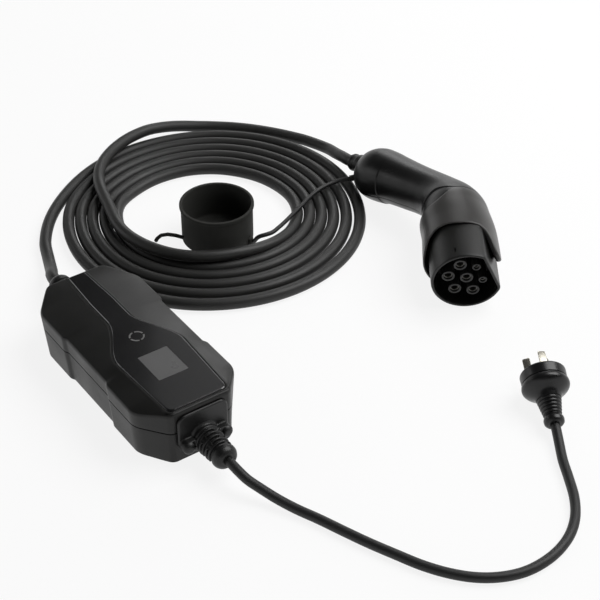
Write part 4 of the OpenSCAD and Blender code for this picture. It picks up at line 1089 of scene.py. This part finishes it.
def makeHead():
    count = connector["columns"]
    q = 2 * np.pi * (np.arange(count) + 0.5) / count
    front = hoodRuns(q)
    rear = seamRun - connector["collarHead"] * collar(q)
    gripEdge = seamRun + connector["collarGrip"] * collar(q)
    wall, spigot = connector["headWall"], connector["spigot"]
    ease = seamEase(q)
    into = connector["collarIn"] * ease
    rim = wall + connector["rimExtra"] * smoothStep((np.sin(q) - 0.6) / 0.25)
    blunt = rim / wall                            # the thick part of the rim is rounded more
    start, spigotEnd = front + 0.9 * blunt, gripEdge + connector["spigotLength"]
    rows = [(start + (rear - front - 2.9 - 0.9 * blunt) * t, 0.0) for t in np.linspace(0, 1, 44)]
    rows += [(rear - back * ease, inset * ease) for back, inset in connector["headEdge"]]
    rows += [(rear + 0.05 + (gripEdge - rear + 0.35) * t, into) for t in np.linspace(0, 1, 8)]
    rows += [(gripEdge + 0.5, spigot), (spigotEnd, spigot), (spigotEnd, spigot + wall),
             (rear - 1, spigot + wall), (rear - 4, wall + 1)]
    rows += [(rear - 4 + (front + blunt - rear + 4) * t, wall + (rim - wall) * smoothStep((t - 0.45) / 0.4))
             for t in np.linspace(0, 1, 12)[1:]]
    rows += [(front + back * blunt, rim - inset * blunt) for back, inset in connector["rimInside"]]
    rows += [(front + back * blunt, inset * blunt) for back, inset in connector["rimOutside"]]
    rings = [sectionPoints(run, q, inset) for run, inset in rows]
    skin = loft("headSkin", rings, ends="joined", place=layConnector, sharp=50)
    return evenShading(skin, "connector_head", 50)


def makeElbowDarkSheet():
    # a thin sheet in the grip's dark finish over the head's sunken band between the head and the grip, wide
    # on the inner side of the elbow
    q = 2 * np.pi * (np.arange(connector["columns"]) + 0.5) / connector["columns"]
    front = seamRun - connector["collarHead"] * collar(q) + 0.08
    rear = seamRun + connector["collarGrip"] * collar(q) + 0.5
    outer, inner = (connector["collarIn"] + d for d in (-0.2, 0.5))
    rows = [(front + (rear - front) * t, outer * seamEase(q)) for t in np.linspace(0, 1, 8)]
    rows += [(front + (rear - front) * t, inner * seamEase(q)) for t in np.linspace(1, 0, 8)]
    rings = [sectionPoints(run, q, inset) for run, inset in rows]
    return loft("elbow_insert", rings, ends="joined", place=layConnector, sharp=50)


def gripLoop(side, run, inset, inner):
    # one half's cross-section: the outer arc with its edges eased at the joint, then the inner arc back
    steps, edge, joint, edgeIn = 44, 0.033, 0.004, 0.3
    q = np.linspace(-math.pi / 2 + edge, math.pi / 2 - edge, steps)
    q = np.concatenate([[-math.pi / 2 + joint], q, [math.pi / 2 - joint]])
    at = q if side > 0 else math.pi - q
    eased = inset * seamEase(at)
    eased[[0, -1]] += edgeIn
    if callable(run):
        run = run(at)
    return np.vstack([sectionPoints(run, at, eased), sectionPoints(run, at, inner)[::-1]])


def makeGripHalf(side, name):
    wall, heelAt = connector["gripWall"], connector["heelAt"]

    def frontEdge(back):
        return lambda q: seamRun + connector["collarGrip"] * collar(q) + back

    loops = [gripLoop(side, frontEdge(back), inset, wall) for back, inset in connector["gripEdge"]]
    edgeEnd, far = frontEdge(connector["gripEdge"][-1][0]), seamRun + connector["collarGrip"] + 3
    for t in np.linspace(0, 1, 6)[1:]:
        loops.append(gripLoop(side, lambda q: (1 - t) * edgeEnd(q) + t * far, 0.0, wall))
    # from, to and spacing of the plain cross-sections, closest together at the heel
    spreads = ((far + 1.5, heelAt - 2, 1.6), (heelAt - 1.6, heelAt + 1.6, 0.3), (heelAt + 2, runs[-2], 1.2))
    for spread in spreads:
        loops += [gripLoop(side, run, 0.0, wall) for run in np.arange(*spread)]
    # the rear wall closes round the boot, whose hole lies off the middle
    hole, offset = connector["bootRadius"] + 0.15, connector["bootOff"]
    half = np.radians(np.linspace(-90, 90, 46))
    y, z, lean = sections[-1][:3]
    lean = math.radians(lean)

    def rearArc(back, shift, wide, deep):
        at = half if side > 0 else math.pi - half
        x = wide * np.cos(at)
        x[[0, -1]] = side * 0.1
        out = deep * np.sin(at) + shift
        return np.stack([x, y - back * math.sin(lean) + out * math.cos(lean),
                         z - back * math.cos(lean) - out * math.sin(lean)], 1)

    hem = [((1.2, offset, hole, hole), (-1.3, offset, hole, hole))]
    for outer, inner in connector["rearWall"] + hem:
        loops.append(np.vstack([rearArc(*outer), rearArc(*inner)[::-1]]))
    return loft(name, loops, ends="strips", place=layConnector, sharp=50)


def sideways(y, z):
    # places a part that runs out from the joint between the halves, along the connector's X
    return placer(("Y", 90), at=(0, y, z), after=layConnector)


def skinOver(y, z, reach, inset):
    # the least height of the skin over a circle round a point of the joint
    grid = sectionAt(np.arange(seamRun, runs[-1], 0.5))
    heights = []
    for a in np.linspace(0, 2 * math.pi, 16, endpoint=False):
        dy, dz = y + reach * math.cos(a) - grid[:, 0], z + reach * math.sin(a) - grid[:, 1]
        lean = np.radians(grid[:, 2])
        k = int(np.argmin(np.abs(dy * np.sin(lean) + dz * np.cos(lean))))
        off = (dy * np.cos(lean) - dz * np.sin(lean))[k] / (grid[k, 4] - inset)
        heights.append((grid[k, 3] - inset) * math.sqrt(max(0.0, 1 - off * off)))
    return min(heights)


def makeGrip():
    left = evenShading(makeGripHalf(-1, "gripLeft"), "grip_shell_upper", 50)
    right = makeGripHalf(1, "gripRight")
    head, hole, post = connector["screwHead"], connector["screwHole"], connector["post"]
    well = diskOutline(head, (0, 0))
    wells = [prism("well", well, 9, 34, place=sideways(y, z)) for y, z in connector["screws"]]
    right = carve(right, "gripRightCarved", wells)
    posts = []
    for y, z in connector["screws"]:
        top = skinOver(y, z, post, 1.0)
        profile = [(head, top), (head, 8), (hole, 8), (hole, 0.3), (post, 0.3), (post, top)]
        posts.append(revolve("post", profile, sideways(y, z), 32))
    right = evenShading(joined("gripRightParts", [right] + posts), "grip_shell_lower", 50)
    return left, right


def makeBoot():
    # from inside the grip over a cone to the small ring where the cable comes out
    r, length, core = connector["bootRadius"], connector["bootLength"], cable["diameter"] / 2
    profile = rounded([(0, -12), (r, -12), (r, 3.2), (r - 0.9, 4.4), (core + 2.6, 8.4), (core + 2.6, 9.6),
                       (core + 3.0, 10.2), (core + 2.7, 12.2), (core + 1.6, 12.8), (core + 1.7, length - 1),
                       (core + 1, length), (0, length)], 0.7)
    toEnd = placer(("X", 180 - connector["bootLean"]), at=connector["bootAt"], after=layConnector)
    return revolve("grip_cable_boot", profile, toEnd, 72, 50)


def makeMarks():
    # three short raised bars where the thumb rests
    r, half = connector["markRadius"], connector["markHalf"]
    bar = revolve("bar", rounded([(0, -half), (r, -half), (r, half), (0, half)], 0.3), steps=16)
    mesh = bar.data
    parts = []
    for run, angle in connector["marks"]:
        q = math.radians(angle)
        here = layConnector(sectionPoints(run, q, 0.0))[0]
        ahead = layConnector(sectionPoints(run + 2, q + 0.09, 0.0))[0]
        out = layConnector(sectionPoints(run, q, -1.0))[0] - here
        along = Vector(ahead - here).normalized()
        turn = np.array(along.to_track_quat("Z", "Y").to_matrix())
        points = np.array([v.co for v in mesh.vertices]) * 1000 @ turn.T + here - out * connector["markSunk"]
        copy = mesh.copy()
        copy.vertices.foreach_set("co", (points / 1000).ravel())
        parts.append(addObject("bar", copy))
    remove(bar)
    return joined("grip_thumb_bars", parts)


connectorNose = finish(makeNose(), "nose_plastic", "nose_shroud")
contactParts = makeContacts()
connectorHead = finish(makeHead(), "head_plastic", "head_cover")
# the sunken band between the head and the grip shows dark, under a sheet in the grip's finish
elbowDarkSheet = finish(makeElbowDarkSheet(), "grip_plastic")
gripLeft, gripRight = makeGrip()
finish(gripLeft, "grip_plastic", "grip_shell_left")
finish(gripRight, "grip_plastic", "grip_shell_right")
cableBoot = finish(makeBoot(), "relief_rubber", "grip_boot")
thumbBars = finish(makeMarks(), "grip_plastic")
print("vehicle connector made")


# strain reliefs on the box

relief = {
    "axisHeight": 18.5, "radius": 12.0, "length": 35.0, "ribs": 5, "pitch": 4.0, "taper": 0.025,
    "ribsFrom": 5.0, "ribDepth": 2.8,
    "slotHalf": 16.0,                             # half the gap between a rib's two arcs, in degrees
    "blockOut": 2.6, "flange": 1.2, "lugPlace": 17.0, "lugRadius": 5.5, "lugHeight": 9.0, "lugTaper": 2.4,
    # the sleeve's end behind the ribs: how much thinner than the sleeve, and how far from its end
    "nozzle": [(3.6, 9.6), (1.6, 8.6), (1.3, 7.2), (1.6, 4.6), (2.8, 2.2), (4.4, 0.7), (5.6, 0)],
    "voxel": 0.45, "easing": 3,
}


def ribsTree():
    # Geometry Nodes: ribs along X, each turned a quarter from the one before and a little smaller
    sizes = {"Rib": "Object", "Count": "Int", "Pitch": "Float", "Taper": "Float", "Finish": "Material"}
    tree, given = newTree("ribsAlongSleeve", sizes)
    info = addNode(tree, "GeometryNodeObjectInfo", {"Object": given.outputs["Rib"], "As Instance": True})
    step = addNode(tree, "ShaderNodeCombineXYZ", {"X": given.outputs["Pitch"]})
    line = addNode(tree, "GeometryNodeMeshLine", {"Count": given.outputs["Count"],
                   "Offset": step.outputs[0]})
    number = addNode(tree, "GeometryNodeInputIndex")
    quarter = addNode(tree, "ShaderNodeMath", {0: number.outputs[0], 1: math.pi / 2}, operation="MULTIPLY")
    turn = addNode(tree, "ShaderNodeCombineXYZ", {"X": quarter.outputs[0]})
    less = addNode(tree, "ShaderNodeMath", {0: number.outputs[0], 1: given.outputs["Taper"]},
                   operation="MULTIPLY")
    size = addNode(tree, "ShaderNodeMath", {0: 1.0, 1: less.outputs[0]}, operation="SUBTRACT")
    scale = addNode(tree, "ShaderNodeCombineXYZ", {"X": 1.0, "Y": size.outputs[0], "Z": size.outputs[0]})
    ribs = addNode(tree, "GeometryNodeInstanceOnPoints", {"Points": line.outputs["Mesh"],
                   "Instance": info.outputs["Geometry"], "Rotation": turn.outputs[0],
                   "Scale": scale.outputs[0]})
    closeTree(tree, ribs.outputs["Instances"], given.outputs["Finish"])
    return tree


ribTree = ribsTree()


def makeRibs():
    # the ribs of one sleeve, along X from the first of them
    r, pitch = relief["radius"], relief["pitch"]
    foot = r - relief["ribDepth"]
    section = rounded([(foot, 0.0), (r, 0.5), (r, 0.6 * pitch), (foot, 0.7 * pitch)], 0.5, closed=True)
    arcs = []
    for start in (0, 180):
        turns = np.radians(np.linspace(start + relief["slotHalf"], start + 180 - relief["slotHalf"], 30))
        rings = [[(x, d * math.cos(a), d * math.sin(a)) for d, x in section] for a in turns]
        arcs.append(loft("ribArc", rings))
    rib = joined("ribPair", arcs)
    rib.data.transform(Matrix.Rotation(math.radians(45), 4, "X"))
    base = joined("ribBase", [])
    ribs = runTree(base, ribTree, "ribs", Rib=rib, Count=relief["ribs"], Pitch=pitch / 1000,
                   Taper=relief["taper"], Finish=slotMaterial("relief_rubber"))
    remove(rib)
    return ribs


def makeRelief(side, name):
    r, out, length, pitch = relief["radius"], relief["blockOut"], relief["length"], relief["pitch"]
    flange, lugAt, lugWide = relief["flange"], relief["lugPlace"], relief["lugRadius"]
    root = halfLength + out

    def mirror(points):
        return np.asarray(points, float) * (side, 1, 1)

    def blockRing(x, grow):
        return [(x, y, z) for y, z in blockOutline(grow)]

    def onAxis(points):
        # a shape turned about Z is laid along X on the sleeve's axis
        p = np.asarray(points, float)
        return mirror(np.stack([p[:, 2] + root, p[:, 0], p[:, 1] + relief["axisHeight"]], 1))

    # the block in the end face, with a flange just outside it: how far past the face, and how much larger
    steps = ((-8, 0), (0.35, 0), (0.4, flange), (1.5, flange), (out, 0.2))
    parts = [loft("block", [blockRing(halfLength + past, grow) for past, grow in steps], place=mirror)]
    # a flat boss across the block, and a round lug at each side of the sleeve
    boss = roundedRect(2 * (lugAt + 0.5), 2 * lugWide, 1.5, (0, relief["axisHeight"]))
    boss = [[(x, y, z) for y, z in boss] for x in (halfLength, root + 6)]
    parts.append(loft("boss", boss, place=mirror))
    top, taper = relief["lugHeight"], relief["lugTaper"]
    lug = [(0, -out), (lugWide, -out), (lugWide, top - taper), (lugWide - taper, top), (0, top)]
    lug = rounded(lug, 1.6)
    for s in (-1, 1):
        parts.append(revolve("lug", lug, placer(at=(s * lugAt, 0, 0), after=onAxis), 48))
    # the sleeve's core: its foot, a cone under the ribs and the nozzle
    core = [(0, -out), (r + 1.5, -out), (r + 1.5, 0), (r, 1.4), (r, 4.2)]
    core += [(r - 2.2 - 0.3 * k, relief["ribsFrom"] + pitch * k) for k in range(relief["ribs"])]
    core += [(r - less, length - back) for less, back in relief["nozzle"]]
    parts.append(revolve("core", core + [(0, length)], onAxis, 72))
    ribs = makeRibs()
    placePoints(ribs, lambda p: mirror(p + (root + relief["ribsFrom"], 0, relief["axisHeight"])))
    if side < 0:
        ribs.data.flip_normals()
    whole = softened(joined("reliefParts", parts + [ribs]), name, relief["voxel"], relief["easing"])
    smoothShade(whole.data, 60)
    return whole


finish(makeRelief(1, "lead_strain_relief"), "relief_rubber", "input_strain_relief")
finish(makeRelief(-1, "cable_strain_relief"), "relief_rubber", "output_strain_relief")
print("strain reliefs made")


# dust cap

cap = {
    "at": (-139.0, 167.0, 0.0), "bore": 31.7, "wall": 1.6, "height": 38.0, "lip": 1.2, "lugTurn": 30.0,
    # roundings of the profile's corners by their number
    "roundings": {3: 0.6, 4: 0.8, 6: 0.6, 7: 0.6, 8: 0.9, 10: 0.5, 11: 0.4, 12: 1.2, 13: 1.2},
    "lugRings": ((1.6, 1.2), (2.2, 0), (8.4, 0), (9, 1.2)),      # height, and how much narrower
}


def makeCap():
    bore, high = cap["bore"], cap["height"]
    r = bore + cap["wall"]
    lip = r + cap["lip"]
    # from the middle of the underside round the outside, over the lip and down the bore to the floor
    profile = [(0, 0.25), (6, 0.25), (6.4, 0), (r - 1.6, 0), (r - 0.1, 1.5), (r, 3), (r, high - 3.6),
               (lip, high - 2.9), (lip, high - 0.1), (r + 0.3, high), (bore + 0.2, high),
               (bore, high - 0.8), (bore, 4.2), (bore - 1.6, 2.6), (0, 2.6)]
    body = revolve("capBody", rounded(profile, cap["roundings"], 5), placer(at=cap["at"]), 160, 50)
    rings = [[(x, y, z) for x, y in roundedRect(3.9, 6 - less, 0.8, (r + 0.65, 0), 5)]
             for z, less in cap["lugRings"]]
    lug = loft("capLug", rings, place=placer(("Z", cap["lugTurn"]), at=cap["at"]), sharp=50)
    return joined("dust_cap_body", [body, lug])


dustCap = finish(makeCap(), "cap_rubber", "dust_cap")
print("dust cap made")


# mains plug: shaped with its pins along +Z, then laid on its edge

plug = {
    "at": (202.0, 261.8, 22.8), "turns": (("Z", 151.5), ("Y", 75.0), ("Z", 157.5)),
    "radius": 19.9, "front": 10.0, "bodyLength": 26.0, "sleeveLength": 24.0, "sleeveRibs": 5,
    # roundings of the body's profile by the number of the corner
    "roundings": {2: 0.12, 3: 0.12, 5: 0.7, 6: 0.9, 7: 0.35, 8: 0.2, 9: 0.2, 10: 0.5, 11: 1.5, 12: 1.4,
                  13: 1.6, 14: 2, 15: 2},
    "pinWidth": 6.35, "pinThick": 1.6, "pinLength": 16.6, "earthLength": 18.5,
    "pinCircle": 7.92, "earthCircle": 10.3,       # from the plug's middle to each pin
}
layPlug = placer(*plug["turns"], at=plug["at"])


def makePlugBody():
    # the front face with a shallow ring, the rim, the groove behind it and the dome
    r, front, end = plug["radius"], plug["front"], plug["bodyLength"]
    profile = [(0, 0), (r - 4.6, 0), (r - 4.3, -0.25), (r - 3.9, -0.25), (r - 3.6, 0), (r - 2, 0),
               (r - 0.9, -1.1), (r - 1.2, -front + 0.8), (r - 2.1, -front + 0.4), (r - 2.1, -front - 0.4),
               (r - 0.5, -front - 1), (r, -front - 3.4), (r - 0.5, -front - 5.4), (r - 2.1, -front - 7.4),
               (r - 5, -front - 9.8), (r - 8.2, -front - 12.6), (10.2, -end), (0, -end)]
    return revolve("plug_body_shell", rounded(profile, plug["roundings"], 6), layPlug, 128, 50)


def makePlugSleeve():
    # ribs that get smaller towards the lead, and a collar at the end
    end, count = plug["sleeveLength"], plug["sleeveRibs"]
    pitch = (end - 9) / count
    profile = [(0, 0), (9.8, 0)]
    for k in range(count):
        z, r = 0.8 + k * pitch, 10 - 0.55 * k
        profile += [(r - 1.3, z), (r, z + 0.4), (r - 0.1, z + pitch * 0.55), (r - 1.5, z + pitch * 0.75)]
    profile += [(6.9, end - 7.2), (8, end - 6.4), (8.5, end - 4.6), (8.2, end - 2), (6.9, end - 0.4),
                (5.4, end), (0, end)]
    back = placer(("X", 180), at=(0, 0, -plug["bodyLength"]), after=layPlug)
    return revolve("plug_sleeve_ribs", rounded(profile, 0.35, 3), back, 96, 50)


def makePin(turn, radius, length, across):
    # a flat pin with eased edges and a chamfered tip
    wide, thick = (plug["pinWidth"], plug["pinThick"]) if across else (plug["pinThick"], plug["pinWidth"])
    rings = []
    for z, less in ((-6, 0), (length - 1.6, 0), (length - 0.5, 0.35), (length, 0.75)):
        outline = roundedRect(wide - 2 * less, thick - 2 * less, max(0.05, 0.3 - less / 4), (0, radius), 4)
        rings.append([(x, y, z) for x, y in outline])
    return loft("pin", rings, place=placer(("Z", turn), after=layPlug), sharp=40)


plugBody = finish(makePlugBody(), "plug_plastic", "plug_body")
plugSleeve = finish(makePlugSleeve(), "plug_plastic", "plug_sleeve")
linePins = [makePin(turn, plug["pinCircle"], plug["pinLength"], True) for turn in (-60, 60)]
linePins = finish(joined("plug_line_pins", linePins), "pin_brass", "line_pins")
earthPin = makePin(180, plug["earthCircle"], plug["earthLength"], False)
earthPin = finish(joined("plug_earth_pin", [earthPin]), "pin_brass", "earth_pin")
print("mains plug made")


# the pieces of the vehicle connector, gathered in one list

connectorPieces = [connectorHead, gripLeft, gripRight, connectorNose, cableBoot, thumbBars, elbowDarkSheet]
connectorPieces += contactParts
connectorPieces += [nodes[name] for name in ("grip_screws", "nose_seal", "cord_clamp", "tether_anchor")]
